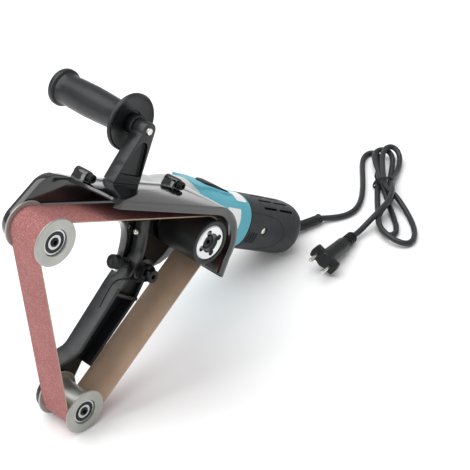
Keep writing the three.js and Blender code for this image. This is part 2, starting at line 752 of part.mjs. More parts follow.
const LEAD_ROUTE = [
  [268.6, -0.2, 6.5],
  [273, -1.6, 5.2],
  [279, -5, 4],
  [288, -11, LEAD_Z],
  [297, -15.8, LEAD_Z],
  [309, -17.6, LEAD_Z],
  [322, -14.6, LEAD_Z],
  [337, -6.8, LEAD_Z],
  [356, 8.2, LEAD_Z],
  [375, 25, LEAD_Z],
  [393.5, 41.8, LEAD_Z],
];

function hankOutline() {
  const right = [[97, 6], [94, 20], [84, 29], [66, 31], [44, 25], [18, 15], [0, 12], [-20, 15], [-50, 17], [-92, 19], [-112, 17], [-122, 6]];
  const left = [[-122, -3], [-112, -13], [-92, -17], [-60, -17], [-20, -12], [0, -12], [22, -13], [46, -19], [62, -26], [80, -25], [93, -14]];
  const path = new THREE.CatmullRomCurve3(
    [...right, ...left].map(([a, b]) => new THREE.Vector3(...onHank(a, b), 0)),
    true,
  );
  return outline(path.getPoints(66).slice(0, -1).map((p) => [p.x, p.y]));
}

function lead() {
  add("cord_lead", tube(LEAD_ROUTE, CORD_R, 8, 22), CORD_SKIN, sander);
  add("cord_hank", standing(hankOutline(), HANK.lift, HANK.lift + HANK.height), CORD_SKIN, sander);
  const loop = [[-125.2, 4.6], [-131, 10], [-133, 18], [-127, 27], [-113, 33], [-95, 35], [-76, 33], [-60, 27.5], [-52, 22]];
  const loopRoute = lay(loop.map(([a, b]) => onHank(a, b)), LEAD_Z);
  add("cord_loop", tube(loopRoute, CORD_R, 8, 20), CORD_SKIN, sander);
  const tail = [[-86, -21], [-93, -25.5], [-102, -32], [-111, -39.4]];
  const tailRoute = tail.map(([a, b], i) => [...onHank(a, b), [4, 4.4, 5.6, 7.4][i]]);
  add("plug_lead", tube(tailRoute, CORD_R, 8, 6), CORD_SKIN, sander);
}

// The wire tie: an arch over the hank's waist.
function cordTie() {
  const [half, top, thick, wide] = [12.8, HANK.lift + HANK.height + GAP, 1.4, 5];
  const shape = outline([
    [-half - thick, FLOOR_GAP],
    [-half - thick, top],
    [-half, top + thick],
    [half, top + thick],
    [half + thick, top],
    [half + thick, FLOOR_GAP],
    [half, FLOOR_GAP],
    [half, top],
    [-half, top],
    [-half, FLOOR_GAP],
  ]);
  const geometry = new THREE.ExtrudeGeometry(shape, { depth: wide, bevelEnabled: false });
  geometry.translate(0, 0, -wide / 2);
  geometry.rotateX(Math.PI / 2);
  geometry.rotateZ(HANK.angle - Math.PI / 2);
  geometry.translate(HANK.x, HANK.y, 0);
  add("cord_tie", solid(geometry), BLACK_STEEL, sander);
}

const PLUG = { tail: [262.2, -54.3, 8.2], head: [191, -71.5, 18.2], long: 74 };

// The plug is turned about its own x, from the lead to the pins, then laid along the floor.
function plug() {
  const group = new THREE.Group();
  const start = new THREE.Vector3(...PLUG.tail);
  const direction = new THREE.Vector3(...PLUG.head).sub(start).normalize();
  group.position.copy(start);
  group.quaternion.setFromUnitVectors(new THREE.Vector3(1, 0, 0), direction);
  sander.add(group);
  const profile = [[0, 0], [6.4, 0], [6.6, 22], [8, 24], [8.8, 50], [8.8, 66], [18, 66], [18, PLUG.long], [0, PLUG.long]];
  const notches = [-1, 1].map((side) => box([65, side * 14 - 6, -30], [PLUG.long + 1, side * 14 + 6, 30]));
  const waist = notches.map((n) => n.intersect(turnedAlongX(ringProfile(11.5, 30, 60, 80))));
  const pinPlaces = [["plug_pin_upper", 9.5], ["plug_pin_lower", -9.5]];
  const sockets = pinPlaces.map(([, z]) => rodX(2.5, 60, 90, 0, z, 16));
  add("plug_body", without(turnedAlongX(profile), ...waist, ...sockets), BLACK_PLASTIC, group);
  for (const [name, z] of pinPlaces) add(name, rodX(2.2, 62, PLUG.long + 19, 0, z, 16), ZINC, group);
}

// ---- assembly ----------------------------------------------------------------------------------
guardFrame();
handleBracket();
sideHandle();
drum();
roller("upper", UPPER, -28);
axleNut("upper_axle_nut", UPPER, WALL.far + GAP);
roller("lower", LOWER, -27);
axleNut("lower_axle_nut", LOWER, -33 + GAP);
sandingBelt();
tensionArm();
pivotBolt();
torsionSpring();
trackingScrew();
gearHousing();
gears();
armature();
motorHousing();
label("rating_label", 98, 124, 2, 38);
label("blank_label", 121, 141, 62, 94);
rearCover();
cordGuard();
lead();
cordTie();
plug();

export default sander;
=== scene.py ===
"""The looks of a hand-held pipe belt sander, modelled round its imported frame.

Every piece but the lead is shaped in millimetres in the tool's own axes: x runs back along the motor,
y along the wheels' axles away from the belt, z up, with the origin where spindle and motor axis meet.
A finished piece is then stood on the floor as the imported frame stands.
"""

import json
import logging
import math
from dataclasses import dataclass, field
from enum import Enum

import bpy
from mathutils import Matrix, Vector


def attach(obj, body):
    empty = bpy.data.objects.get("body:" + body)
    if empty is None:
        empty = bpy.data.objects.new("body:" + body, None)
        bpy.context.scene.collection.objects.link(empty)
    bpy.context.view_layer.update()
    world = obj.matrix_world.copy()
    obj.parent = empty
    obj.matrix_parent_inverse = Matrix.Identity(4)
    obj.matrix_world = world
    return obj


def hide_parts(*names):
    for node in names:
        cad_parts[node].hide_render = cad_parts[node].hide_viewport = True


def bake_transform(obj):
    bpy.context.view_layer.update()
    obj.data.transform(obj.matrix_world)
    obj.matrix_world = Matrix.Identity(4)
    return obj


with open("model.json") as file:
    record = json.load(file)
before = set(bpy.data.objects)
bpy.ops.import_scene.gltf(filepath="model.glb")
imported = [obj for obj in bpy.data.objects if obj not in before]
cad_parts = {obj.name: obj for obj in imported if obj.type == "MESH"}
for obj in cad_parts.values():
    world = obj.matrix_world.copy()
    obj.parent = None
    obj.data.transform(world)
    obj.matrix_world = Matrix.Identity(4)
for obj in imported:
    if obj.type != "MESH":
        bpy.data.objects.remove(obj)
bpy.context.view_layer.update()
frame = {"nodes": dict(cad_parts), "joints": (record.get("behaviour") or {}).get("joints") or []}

log = logging.getLogger("sander")

Point = tuple[float, ...]
Outline = list[Point]

MM = 0.001
JOINTS = {joint["name"]: joint for joint in frame["joints"]}
SPINDLE = Vector(JOINTS["drum_spin"]["pos_m"])
MOTOR_AXIS = Vector(JOINTS["armature_spin"]["axis"])
PITCH = math.atan2(-MOTOR_AXIS.z, MOTOR_AXIS.x)
TOOL = Matrix.Translation(SPINDLE) @ Matrix.Rotation(PITCH, 4, "Y") @ Matrix.Scale(MM, 4)


def in_tool(point: Vector) -> Vector:
    """Returns a point of the row frame, in metres, in the tool's axes and millimetres."""
    return TOOL.inverted() @ point


def joint_centre(name: str) -> Point:
    """Returns where a joint's axle stands in the tool's x and z."""
    place = in_tool(Vector(JOINTS[name]["pos_m"]))
    return place.x, place.z


DRUM = (0.0, 0.0)
UPPER = joint_centre("upper_roller_spin")
LOWER = joint_centre("lower_roller_spin")
PIVOT = joint_centre("arm_swing")
HANDLE = (-89.7, 87.8)


# ---- the modelling bench --------------------------------------------------------------------------
class Axis(Enum):
    """The direction a slab is thick in, or a turned piece is turned about."""

    X = (1, 0, 0)
    Y = (0, 1, 0)
    Z = (0, 0, 1)

    def place(self, a: float, b: float, along: float) -> Point:
        """Returns the point at a and b in the plane across this axis, and so far along it.

        Args:
            a: the first of the two other axes, in x, y, z order.
            b: the second of them.
            along: the distance along this axis.
        """
        orders = {Axis.X: (along, a, b), Axis.Y: (a, along, b), Axis.Z: (a, b, along)}
        return orders[self]


def arc(centre: Point, radius: float, start: float, end: float, steps: int = 16) -> Outline:
    """Returns points round an arc.

    Args:
        centre: the arc's centre.
        radius: its radius.
        start: the first angle in degrees.
        end: the last angle in degrees; less than start for a clockwise arc.
        steps: how many pieces the arc is cut into.
    """
    turns = [math.radians(start + (end - start) * i / steps) for i in range(steps + 1)]
    return [(centre[0] + radius * math.cos(t), centre[1] + radius * math.sin(t)) for t in turns]


def star(centre: Point, outer: float, inner: float, teeth: int) -> Outline:
    """Returns the outline of a knurled rim.

    Args:
        centre: the rim's centre.
        outer: the radius at the tips of the teeth.
        inner: the radius between them.
        teeth: how many teeth go round.

    Returns:
        the outline's points.
    """
    points = []
    for i in range(2 * teeth):
        radius = inner if i % 2 else outer
        points += arc(centre, radius, 180 * i / teeth, 180 * i / teeth, 1)[:1]
    return points


def softened(points: Outline, rounds: int = 2) -> Outline:
    """Cuts the corners of a closed outline again and again, until they are round.

    Args:
        points: the outline.
        rounds: how often the corners are cut.

    Returns:
        the rounder outline.
    """
    for _ in range(rounds):
        cut = []
        for a, b in zip(points, points[1:] + points[:1]):
            cut.append(tuple(0.75 * p + 0.25 * q for p, q in zip(a, b)))
            cut.append(tuple(0.25 * p + 0.75 * q for p, q in zip(a, b)))
        points = cut
    return points


class Bench:
    """Blender's own modelling operators, each leaving one clean mesh in object mode."""

    @staticmethod
    def clear() -> None:
        """Leaves edit mode with nothing selected."""
        if bpy.context.object and bpy.context.object.mode != "OBJECT":
            bpy.ops.object.mode_set(mode="OBJECT")
        bpy.ops.object.select_all(action="DESELECT")

    @classmethod
    def pick(cls, obj: bpy.types.Object) -> None:
        """Selects one object and nothing else.

        Args:
            obj: the object.
        """
        cls.clear()
        obj.select_set(True)
        bpy.context.view_layer.objects.active = obj

    @classmethod
    def settle(cls, obj: bpy.types.Object) -> bpy.types.Object:
        """Puts an object's place into its mesh.

        Args:
            obj: the object.

        Returns:
            the same object, at the origin.
        """
        cls.pick(obj)
        bpy.ops.object.transform_apply(location=True, rotation=True, scale=True)
        return obj

    @classmethod
    def line(cls, name: str, points: list[Point]) -> bpy.types.Object:
        """Draws a line of edges from point to point and stays in edit mode with it selected.

        Args:
            name: the object's name.
            points: the points.

        Returns:
            the object.
        """
        cls.clear()
        bpy.ops.mesh.primitive_plane_add(size=1, location=points[0])
        obj = bpy.context.object
        obj.name = name
        bpy.ops.object.mode_set(mode="EDIT")
        bpy.ops.mesh.select_all(action="SELECT")
        bpy.ops.mesh.merge(type="CENTER")
        for a, b in zip(points, points[1:]):
            step = Vector(b) - Vector(a)
            bpy.ops.mesh.extrude_vertices_move(TRANSFORM_OT_translate={"value": step})
        bpy.ops.mesh.select_all(action="SELECT")
        return obj

    @classmethod
    def slab(
        cls, name: str, outline: Outline, low: float, high: float, axis: Axis = Axis.Y
    ) -> bpy.types.Object:
        """Draws an outline and extrudes it.

        Args:
            name: the object's name.
            outline: points in the plane across the axis.
            low: where the slab starts along the axis.
            high: where it ends.
            axis: the direction it is thick in.

        Returns:
            the slab.
        """
        obj = cls.line(name, [axis.place(a, b, low) for a, b in outline])
        bpy.ops.mesh.edge_face_add()
        step = Vector(axis.value) * (high - low)
        bpy.ops.mesh.extrude_region_move(TRANSFORM_OT_translate={"value": step})
        bpy.ops.mesh.select_all(action="SELECT")
        bpy.ops.mesh.normals_make_consistent(inside=False)
        return cls.settle(obj)

    @classmethod
    def turned(
        cls,
        name: str,
        profile: Outline,
        axis: Axis = Axis.Y,
        centre: Point = (0, 0),
        steps: int = 64,
    ) -> bpy.types.Object:
        """Spins a profile once round an axis.

        Args:
            name: the object's name.
            profile: points of (radius, distance along the axis). An open one starts and ends on the axis.
            axis: the axis it is turned about.
            centre: where the axis stands in the plane across it.
            steps: how many faces go round.

        Returns:
            the turned body.
        """
        points = [axis.place(centre[0] + r, centre[1], h) for r, h in profile]
        obj = cls.line(name, points)
        bpy.ops.mesh.spin(
            steps=steps, angle=2 * math.pi, center=axis.place(*centre, 0), axis=axis.value
        )
        bpy.ops.mesh.select_all(action="SELECT")
        bpy.ops.mesh.remove_doubles(threshold=0.002)
        bpy.ops.mesh.normals_make_consistent(inside=False)
        return cls.settle(obj)

    @classmethod
    def rod(
        cls,
        radius: float,
        low: float,
        high: float,
        axis: Axis = Axis.Y,
        centre: Point = (0, 0),
        sides: int = 32,
    ) -> bpy.types.Object:
        """Adds a plain round or many-sided bar, for joining to or cutting from a piece.

        Args:
            radius: the bar's radius to its corners.
            low: where it starts along the axis.
            high: where it ends.
            axis: the axis it lies along.
            centre: where it stands in the plane across the axis.
            sides: how many sides it has.

        Returns:
            the bar.
        """
        turn = {Axis.X: (0, math.pi / 2, 0), Axis.Y: (math.pi / 2, 0, 0), Axis.Z: (0, 0, 0)}[axis]
        cls.clear()
        bpy.ops.mesh.primitive_cylinder_add(
            vertices=sides,
            radius=radius,
            depth=high - low,
            location=axis.place(*centre, (low + high) / 2),
            rotation=turn,
        )
        return cls.settle(bpy.context.object)

    @classmethod
    def block(cls, low: Point, high: Point, turn: float = 0.0) -> bpy.types.Object:
        """Adds a box between two corners, for joining to or cutting from a piece.

        Args:
            low: the corner with the least x, y and z.
            high: the corner with the most.
            turn: the angle in degrees that the box is then turned about x.

        Returns:
            the box.
        """
        cls.clear()
        middle = (Vector(low) + Vector(high)) / 2
        spot = Matrix.Rotation(math.radians(turn), 4, "X") @ middle
        size = Vector(high) - Vector(low)
        bpy.ops.mesh.primitive_cube_add(
            size=1, location=spot, rotation=(math.radians(turn), 0, 0), scale=size
        )
        return cls.settle(bpy.context.object)

    @classmethod
    def boolean(
        cls, obj: bpy.types.Object, tools: list[bpy.types.Object], operation: str
    ) -> bpy.types.Object:
        """Joins, cuts or meets an object with others, which are used up.

        Args:
            obj: the object that is changed.
            tools: the others.
            operation: UNION, DIFFERENCE or INTERSECT.

        Returns:
            the changed object, with no material unless it had one.
        """
        for tool in tools:
            cls.pick(obj)
            step = obj.modifiers.new("shape", "BOOLEAN")
            step.operation = operation
            step.solver = "MANIFOLD"
            step.object = tool
            bpy.ops.object.modifier_apply(modifier=step.name)
            bpy.data.objects.remove(tool)
        if not any(obj.data.materials):
            obj.data.materials.clear()
            obj.data.polygons.foreach_set("material_index", [0] * len(obj.data.polygons))
        return obj

    @classmethod
    def join(cls, obj: bpy.types.Object, *others: bpy.types.Object) -> bpy.types.Object:
        """Makes one body of several."""
        return cls.boolean(obj, list(others), "UNION")

    @classmethod
    def cut(cls, obj: bpy.types.Object, *tools: bpy.types.Object) -> bpy.types.Object:
        """Cuts the tools' shapes out of a body."""
        return cls.boolean(obj, list(tools), "DIFFERENCE")

    @classmethod
    def meet(cls, obj: bpy.types.Object, *others: bpy.types.Object) -> bpy.types.Object:
        """Keeps what a body has in common with the others."""
        return cls.boolean(obj, list(others), "INTERSECT")

    @classmethod
    def bevel(
        cls, obj: bpy.types.Object, width: float, segments: int = 2, angle: float = 35
    ) -> bpy.types.Object:
        """Rounds the edges that turn sharply.

        Args:
            obj: the object.
            width: how wide each edge is cut, in its own units.
            segments: how many faces round the cut.
            angle: the angle in degrees above which an edge is sharp.

        Returns:
            the object.
        """
        cls.pick(obj)
        step = obj.modifiers.new("edge", "BEVEL")
        step.width = width
        step.segments = segments
        step.limit_method = "ANGLE"
        step.angle_limit = math.radians(angle)
        step.use_clamp_overlap = True
        bpy.ops.object.modifier_apply(modifier=step.name)
        return obj

    @classmethod
    def mend(cls, obj: bpy.types.Object) -> bpy.types.Object:
        """Clears away the slivers that booleans leave and turns every face outward.

        Args:
            obj: the object.

        Returns:
            the object.
        """
        cls.pick(obj)
        bpy.ops.object.mode_set(mode="EDIT")
        bpy.ops.mesh.select_all(action="SELECT")
        bpy.ops.mesh.remove_doubles(threshold=0.01)
        bpy.ops.mesh.dissolve_degenerate(threshold=0.01)
        bpy.ops.mesh.normals_make_consistent(inside=False)
        bpy.ops.object.mode_set(mode="OBJECT")
        return obj

    @classmethod
    def wire(
        cls, name: str, points: list[Point], radius: float, closed: bool = False
    ) -> bpy.types.Object:
        """Bends a round wire through points.

        Args:
            name: the object's name.
            points: the points its middle passes.
            radius: the wire's radius.
            closed: whether its ends meet.

        Returns:
            the wire as a mesh.
        """
        cls.clear()
        curve = bpy.data.curves.new(name, "CURVE")
        curve.dimensions = "3D"
        curve.bevel_depth = radius
        curve.bevel_resolution = 3
        curve.use_fill_caps = True
        curve.resolution_u = 4
        spline = curve.splines.new("BEZIER")
        spline.bezier_points.add(len(points) - 1)
        for knot, point in zip(spline.bezier_points, points):
            knot.co = point
            knot.handle_left_type = knot.handle_right_type = "AUTO"
        spline.use_cyclic_u = closed
        obj = bpy.data.objects.new(name, curve)
        bpy.context.scene.collection.objects.link(obj)
        cls.pick(obj)
        bpy.ops.object.convert(target="MESH")
        obj = bpy.context.object
        bpy.ops.object.mode_set(mode="EDIT")
        bpy.ops.mesh.select_all(action="SELECT")
        bpy.ops.mesh.remove_doubles(threshold=0.001)
        bpy.ops.mesh.normals_make_consistent(inside=False)
        bpy.ops.object.mode_set(mode="OBJECT")
        return obj


# ---- finishes -------------------------------------------------------------------------------------
def linear(code: str) -> tuple[float, float, float, float]:
    """Turns an sRGB hex colour to linear light.

    Args:
        code: the colour, as # and six hex digits.

    Returns:
        linear red, green and blue, and full alpha.
    """
    values = [int(code[i : i + 2], 16) / 255 for i in (1, 3, 5)]
    bent = [v / 12.92 if v <= 0.04045 else ((v + 0.055) / 1.055) ** 2.4 for v in values]
    return (*bent, 1.0)


def node(tree: bpy.types.NodeTree, kind: str, inputs: dict | None = None, **settings) -> bpy.types.Node:
    """Adds a shader node.

    Args:
        tree: the material's node tree.
        kind: the node's type name.
        inputs: socket names or numbers, each with a value or with the output it is linked to.
        settings: the node's own settings.

    Returns:
        the node.
    """
    made = tree.nodes.new(kind)
    for key, value in settings.items():
        setattr(made, key, value)
    for key, value in (inputs or {}).items():
        if isinstance(value, bpy.types.NodeSocket):
            tree.links.new(value, made.inputs[key])
        else:
            made.inputs[key].default_value = value
    return made


@dataclass(frozen=True)
class Finish:
    """A surface with slow patches of a second colour and a fine grain.

    Attributes:
        name: the material's name.
        colour: its main colour.
        patch: the colour its worn or dusty patches lean to.
        roughness: the least and the most roughness over the surface.
        metallic: 1 for a bare metal.
        grain: the grain's size in millimetres.
        relief: the grain's height in millimetres.
        patch_size: how far apart the patches are, in millimetres.
        patch_share: how strongly the patches show.
        coat: the weight of a clear coat.
        sheen_level: how strongly a surface that isn't metal mirrors, 0.5 for the common 4 percent.
    """

    name: str
    colour: str
    patch: str
    roughness: tuple[float, float] = (0.4, 0.5)
    metallic: float = 0.0
    grain: float = 0.8
    relief: float = 0.02
    patch_size: float = 22.0
    patch_share: float = 0.6
    coat: float = 0.0
    sheen_level: float = 0.5

    def coordinates(self, tree: bpy.types.NodeTree) -> bpy.types.NodeSocket:
        """Returns the coordinates that the pattern is laid on."""
        return node(tree, "ShaderNodeTexCoord").outputs["Object"]

    def height(self, tree: bpy.types.NodeTree, at: bpy.types.NodeSocket) -> bpy.types.NodeSocket:
        """Raises the grain.

        Args:
            tree: the material's node tree.
            at: the coordinates the pattern is laid on.

        Returns:
            the grain's height.
        """
        grain = node(
            tree,
            "ShaderNodeTexNoise",
            {"Vector": at, "Scale": 1 / (self.grain * MM), "Detail": 3.0},
        )
        return grain.outputs["Fac"]

    def tint(self, tree: bpy.types.NodeTree, at: bpy.types.NodeSocket) -> bpy.types.NodeSocket:
        """Lays the second colour over the first in patches.

        Args:
            tree: the material's node tree.
            at: the coordinates the pattern is laid on.

        Returns:
            the colour.
        """
        noise = node(
            tree,
            "ShaderNodeTexNoise",
            {"Vector": at, "Scale": 1 / (self.patch_size * MM), "Detail": 6.0, "Roughness": 0.6},
        )
        spread = node(
            tree,
            "ShaderNodeMapRange",
            {
                "Value": noise.outputs["Fac"],
                "From Min": 0.4,
                "From Max": 0.75,
                "To Max": self.patch_share,
            },
        )
        mixed = node(
            tree,
            "ShaderNodeMix",
            {0: spread.outputs["Result"], 6: linear(self.colour), 7: linear(self.patch)},
            data_type="RGBA",
        )
        return mixed.outputs[2]

    def build(self) -> bpy.types.Material:
        """Makes the material, unless it is there already.

        Returns:
            the material.
        """
        made = bpy.data.materials.get(self.name)
        if made:
            return made
        made = bpy.data.materials.new(self.name)
        made.use_nodes = True
        tree = made.node_tree
        shader = tree.nodes["Principled BSDF"]
        at = self.coordinates(tree)
        height = self.height(tree, at)
        low, high = self.roughness
        rough = node(
            tree,
            "ShaderNodeTexNoise",
            {"Vector": at, "Scale": 1 / (self.patch_size * 0.4 * MM), "Detail": 5.0},
        )
        spread = node(
            tree,
            "ShaderNodeMapRange",
            {
                "Value": rough.outputs["Fac"],
                "From Min": 0.3,
                "From Max": 0.7,
                "To Min": low,
                "To Max": high,
            },
        )
        bump = node(
            tree,
            "ShaderNodeBump",
            {"Height": height, "Strength": 0.6, "Distance": self.relief * MM},
        )
        tree.links.new(self.tint(tree, at), shader.inputs["Base Color"])
        tree.links.new(spread.outputs["Result"], shader.inputs["Roughness"])
        tree.links.new(bump.outputs["Normal"], shader.inputs["Normal"])
        shader.inputs["Metallic"].default_value = self.metallic
        shader.inputs["Coat Weight"].default_value = self.coat
        if not self.metallic:
            shader.inputs["Specular IOR Level"].default_value = self.sheen_level
        shader.inputs["Coat Roughness"].default_value = 0.12
        return made


@dataclass(frozen=True)
class TurnedMetal(Finish):
    """Metal faced on a lathe: fine rings round the piece's own axle."""

    centre: Point = (0.0, 0.0)
    ring: float = 0.7

    def height(self, tree: bpy.types.NodeTree, at: bpy.types.NodeSocket) -> bpy.types.NodeSocket:
        """Lays rings round the axle, broken up a little.

        Args:
            tree: the material's node tree.
            at: the coordinates in the row frame.

        Returns:
            the rings' height.
        """
        middle = TOOL @ Vector((self.centre[0], 0, self.centre[1]))
        moved = node(
            tree,
            "ShaderNodeVectorMath",
            {0: at, 1: (-middle.x, 0, -middle.z)},
            operation="ADD",
        )
        flat = node(
            tree,
            "ShaderNodeVectorMath",
            {0: moved.outputs[0], 1: (1, 0, 1)},
            operation="MULTIPLY",
        )
        far = node(tree, "ShaderNodeVectorMath", {0: flat.outputs[0]}, operation="LENGTH")
        rings = node(
            tree,
            "ShaderNodeTexNoise",
            {"W": far.outputs["Value"], "Scale": 1 / (self.ring * MM), "Detail": 2.0},
            noise_dimensions="1D",
        )
        return rings.outputs["Fac"]


@dataclass(frozen=True)
class Grit(Finish):
    """Aluminium oxide grit bonded on cloth: dark red-brown with grains that catch the light."""

    def cells(self, tree: bpy.types.NodeTree, at: bpy.types.NodeSocket) -> bpy.types.Node:
        """Returns the grains, drawn a little over their real size so that they show."""
        return node(tree, "ShaderNodeTexVoronoi", {"Vector": at, "Scale": 1 / (self.grain * MM)})

    def height(self, tree: bpy.types.NodeTree, at: bpy.types.NodeSocket) -> bpy.types.NodeSocket:
        """Returns each grain's height."""
        return self.cells(tree, at).outputs["Distance"]

    def tint(self, tree: bpy.types.NodeTree, at: bpy.types.NodeSocket) -> bpy.types.NodeSocket:
        """Gives each grain a colour, from the bond's to a bare crystal's.

        Args:
            tree: the material's node tree.
            at: the coordinates the grains are laid on.

        Returns:
            the colour.
        """
        cell = self.cells(tree, at)
        pick = node(tree, "ShaderNodeSeparateColor", {0: cell.outputs["Color"]})
        ramp = node(tree, "ShaderNodeValToRGB", {"Fac": pick.outputs[0]})
        stops = ramp.color_ramp.elements
        stops[0].position, stops[0].color = 0.0, linear(self.patch)
        stops[1].position, stops[1].color = 0.97, linear("#C99A92")
        middle = stops.new(0.72)
        middle.color = linear(self.colour)
        slow = super().tint(tree, at)
        mixed = node(
            tree, "ShaderNodeMix", {0: 0.5, 6: ramp.outputs["Color"], 7: slow}, data_type="RGBA"
        )
        return mixed.outputs[2]


@dataclass(frozen=True)
class WovenBacking(Finish):
    """Tan cotton drill behind the grit, its threads laid along the belt's own map."""

    thread: float = 1.1

    def coordinates(self, tree: bpy.types.NodeTree) -> bpy.types.NodeSocket:
        """Returns the belt's map: metres along it and across it."""
        return node(tree, "ShaderNodeUVMap", uv_map="belt").outputs["UV"]

    def height(self, tree: bpy.types.NodeTree, at: bpy.types.NodeSocket) -> bpy.types.NodeSocket:
        """Crosses two sets of waves, the higher of warp and weft on top.

        Args:
            tree: the material's node tree.
            at: the belt's map.

        Returns:
            the weave's height.
        """
        count = 2 * math.pi / (self.thread * MM) / 20
        ways = [
            node(
                tree,
                "ShaderNodeTexWave",
                {"Vector": at, "Scale": count, "Distortion": 0.6, "Detail Scale": 3.0},
                bands_direction=way,
            )
            for way in ("X", "Y")
        ]
        top = node(
            tree,
            "ShaderNodeMath",
            {0: ways[0].outputs["Fac"], 1: ways[1].outputs["Fac"]},
            operation="MAXIMUM",
        )
        return top.outputs[0]

    def tint(self, tree: bpy.types.NodeTree, at: bpy.types.NodeSocket) -> bpy.types.NodeSocket:
        """Paints shade into the cloth's colour between the threads, darker where the weave lies low.

        Args:
            tree: the material's node tree.
            at: the belt's map.

        Returns:
            the colour.
        """
        slow = super().tint(tree, at)
        # painted shade: the colour is multiplied down to 0.78 where the weave lies low, standing in for
        # the shadow between the threads
        shade = node(
            tree,
            "ShaderNodeMapRange",
            {
                "Value": self.height(tree, at),
                "From Min": 0.2,
                "From Max": 0.9,
                "To Min": 0.78,
                "To Max": 1.0,
            },
        )
        mixed = node(
            tree,
            "ShaderNodeMix",
            {0: 1.0, 6: slow, 7: shade.outputs["Result"]},
            data_type="RGBA",
            blend_type="MULTIPLY",
        )
        return mixed.outputs[2]


# Gloss black enamel, sprayed and stoved on a cast guard: deep reflections with a faint orange peel.
GLOSS_ENAMEL = Finish(
    "black_enamel",
    "#0B0C0E",
    "#141618",
    (0.08, 0.15),
    grain=2.4,
    relief=0.02,
    coat=1.0,
    sheen_level=0.3,
)
# The same enamel on rougher sand castings: thinner, so it dries duller and shows the sand's grain.
ARM_ENAMEL = Finish(
    "arm_enamel", "#16181B", "#212427", (0.28, 0.4), grain=1.6, relief=0.06, sheen_level=0.45
)
# Die-cast aluminium, shot-blasted: pale, even and soft, with no direction in its shine.
BLASTED_ALUMINIUM = Finish("blasted_aluminium", "#D9DBDB", "#C2C5C6", (0.38, 0.5), 0.55, 0.6, 0.02)
# Glass-filled nylon moulded in teal, the mould spark-eroded: a fine grain that breaks up highlights.
TEAL_NYLON = Finish(
    "teal_nylon", "#55AFC1", "#4BA3B5", (0.42, 0.52), grain=0.7, relief=0.018, patch_size=30
)
# The same nylon moulded in dark grey, with a little more fibre at its skin, so it is duller.
GREY_NYLON = Finish(
    "grey_nylon", "#26292D", "#2D3135", (0.45, 0.58), grain=0.7, relief=0.03, sheen_level=0.35
)
# Soft thermoplastic moulded over the side handle's core: a broad, dull sheen along the barrel.
GRIP_PLASTIC = Finish(
    "grip_plastic", "#17191C", "#202326", (0.3, 0.42), grain=0.9, relief=0.03, sheen_level=0.4
)
# Nylon injection moulded in a polished steel mould: nearly smooth, for buttons, plug and seals.
BLACK_NYLON = Finish(
    "black_nylon", "#121416", "#1A1C1E", (0.36, 0.48), grain=0.8, relief=0.02, sheen_level=0.35
)
# Rubber vulcanised on the drum and the cord guard: dark, even, almost no gloss.
RUBBER_TYRE = Finish(
    "rubber_tyre", "#151719", "#1F2123", (0.4, 0.55), grain=0.9, relief=0.04, sheen_level=0.4
)
# Rubber sheath extruded over the cores: smooth along the cord, greyed by dust.
CABLE_SHEATH = Finish(
    "cable_sheath", "#24272A", "#2F3336", (0.34, 0.46), grain=1.2, relief=0.03, sheen_level=0.4
)
# Aluminium left as it came from the die, grey with mould release, in the drum hub's hollow.
CAST_POCKET = Finish("cast_pocket", "#77797B", "#5D5F61", (0.4, 0.55), 0.6, 0.9, 0.04)
# Machined steel, blackened in hot salts: dark with a low metal shine at the edges.
BLACK_OXIDE = Finish("black_oxide_steel", "#1E1F21", "#2E2F31", (0.28, 0.42), 0.7, 0.7, 0.02)
# Ground bearing and shaft steel: bright, with fine variation from the wheel.
BRIGHT_STEEL = Finish("bright_steel", "#C9CBCC", "#A9ABAC", (0.18, 0.32), 1.0, 0.9, 0.01)
# Zinc plated from a bath on small steel parts: bright and faintly warm.
ZINC_PLATE = Finish("zinc_plate", "#E2E1DA", "#C8C8C4", (0.16, 0.3), 1.0, 1.0, 0.01)
# Drawn copper, turned and browned by the brushes.
COPPER_BARS = Finish("copper_bars", "#B87348", "#8E5535", (0.3, 0.45), 1.0, 0.8, 0.02)
# Aluminium oxide grit spread on wet resin: the real grain is about 0.3 mm, drawn at 0.8 mm so it shows.
BELT_GRIT = Grit(
    "oxide_grit", "#9B605D", "#7F4B4C", (0.7, 0.9), grain=0.8, relief=0.2, patch_size=40
)
# Cotton drill woven and sized: thread spacing about 0.5 mm, drawn at 1.1 mm so that it shows.
BELT_CLOTH = WovenBacking(
    "drill_cloth", "#C2A890", "#AD9079", (0.75, 0.9), relief=0.12, patch_size=30
)
# Carbon pressed and baked into brushes: dull black.
BRUSH_CARBON = Finish("brush_carbon", "#242424", "#333333", (0.5, 0.65), grain=0.6, relief=0.03)
# Matt coated paper on a roll: even white under the object.
STUDIO_PAPER = Finish(
    "studio_paper",
    "#FAFAFA",
    "#F6F6F6",
    (0.55, 0.6),
    grain=4.0,
    relief=0.01,
    patch_size=200,
)
# Lacquered foil, die-cut and left blank: pale with small ripples from its glue.
BLANK_FOIL = Finish(
    "blank_foil",
    "#EFEFED",
    "#E2E3E3",
    (0.3, 0.4),
    grain=2.0,
    relief=0.01,
    patch_size=12,
)


def turned_metal(name: str, centre: Point, colour: str, patch: str, roughness: Point) -> TurnedMetal:
    """Returns a lathe-faced finish centred on an axle."""
    return TurnedMetal(name, colour, patch, roughness, 0.75, relief=0.03, centre=centre)


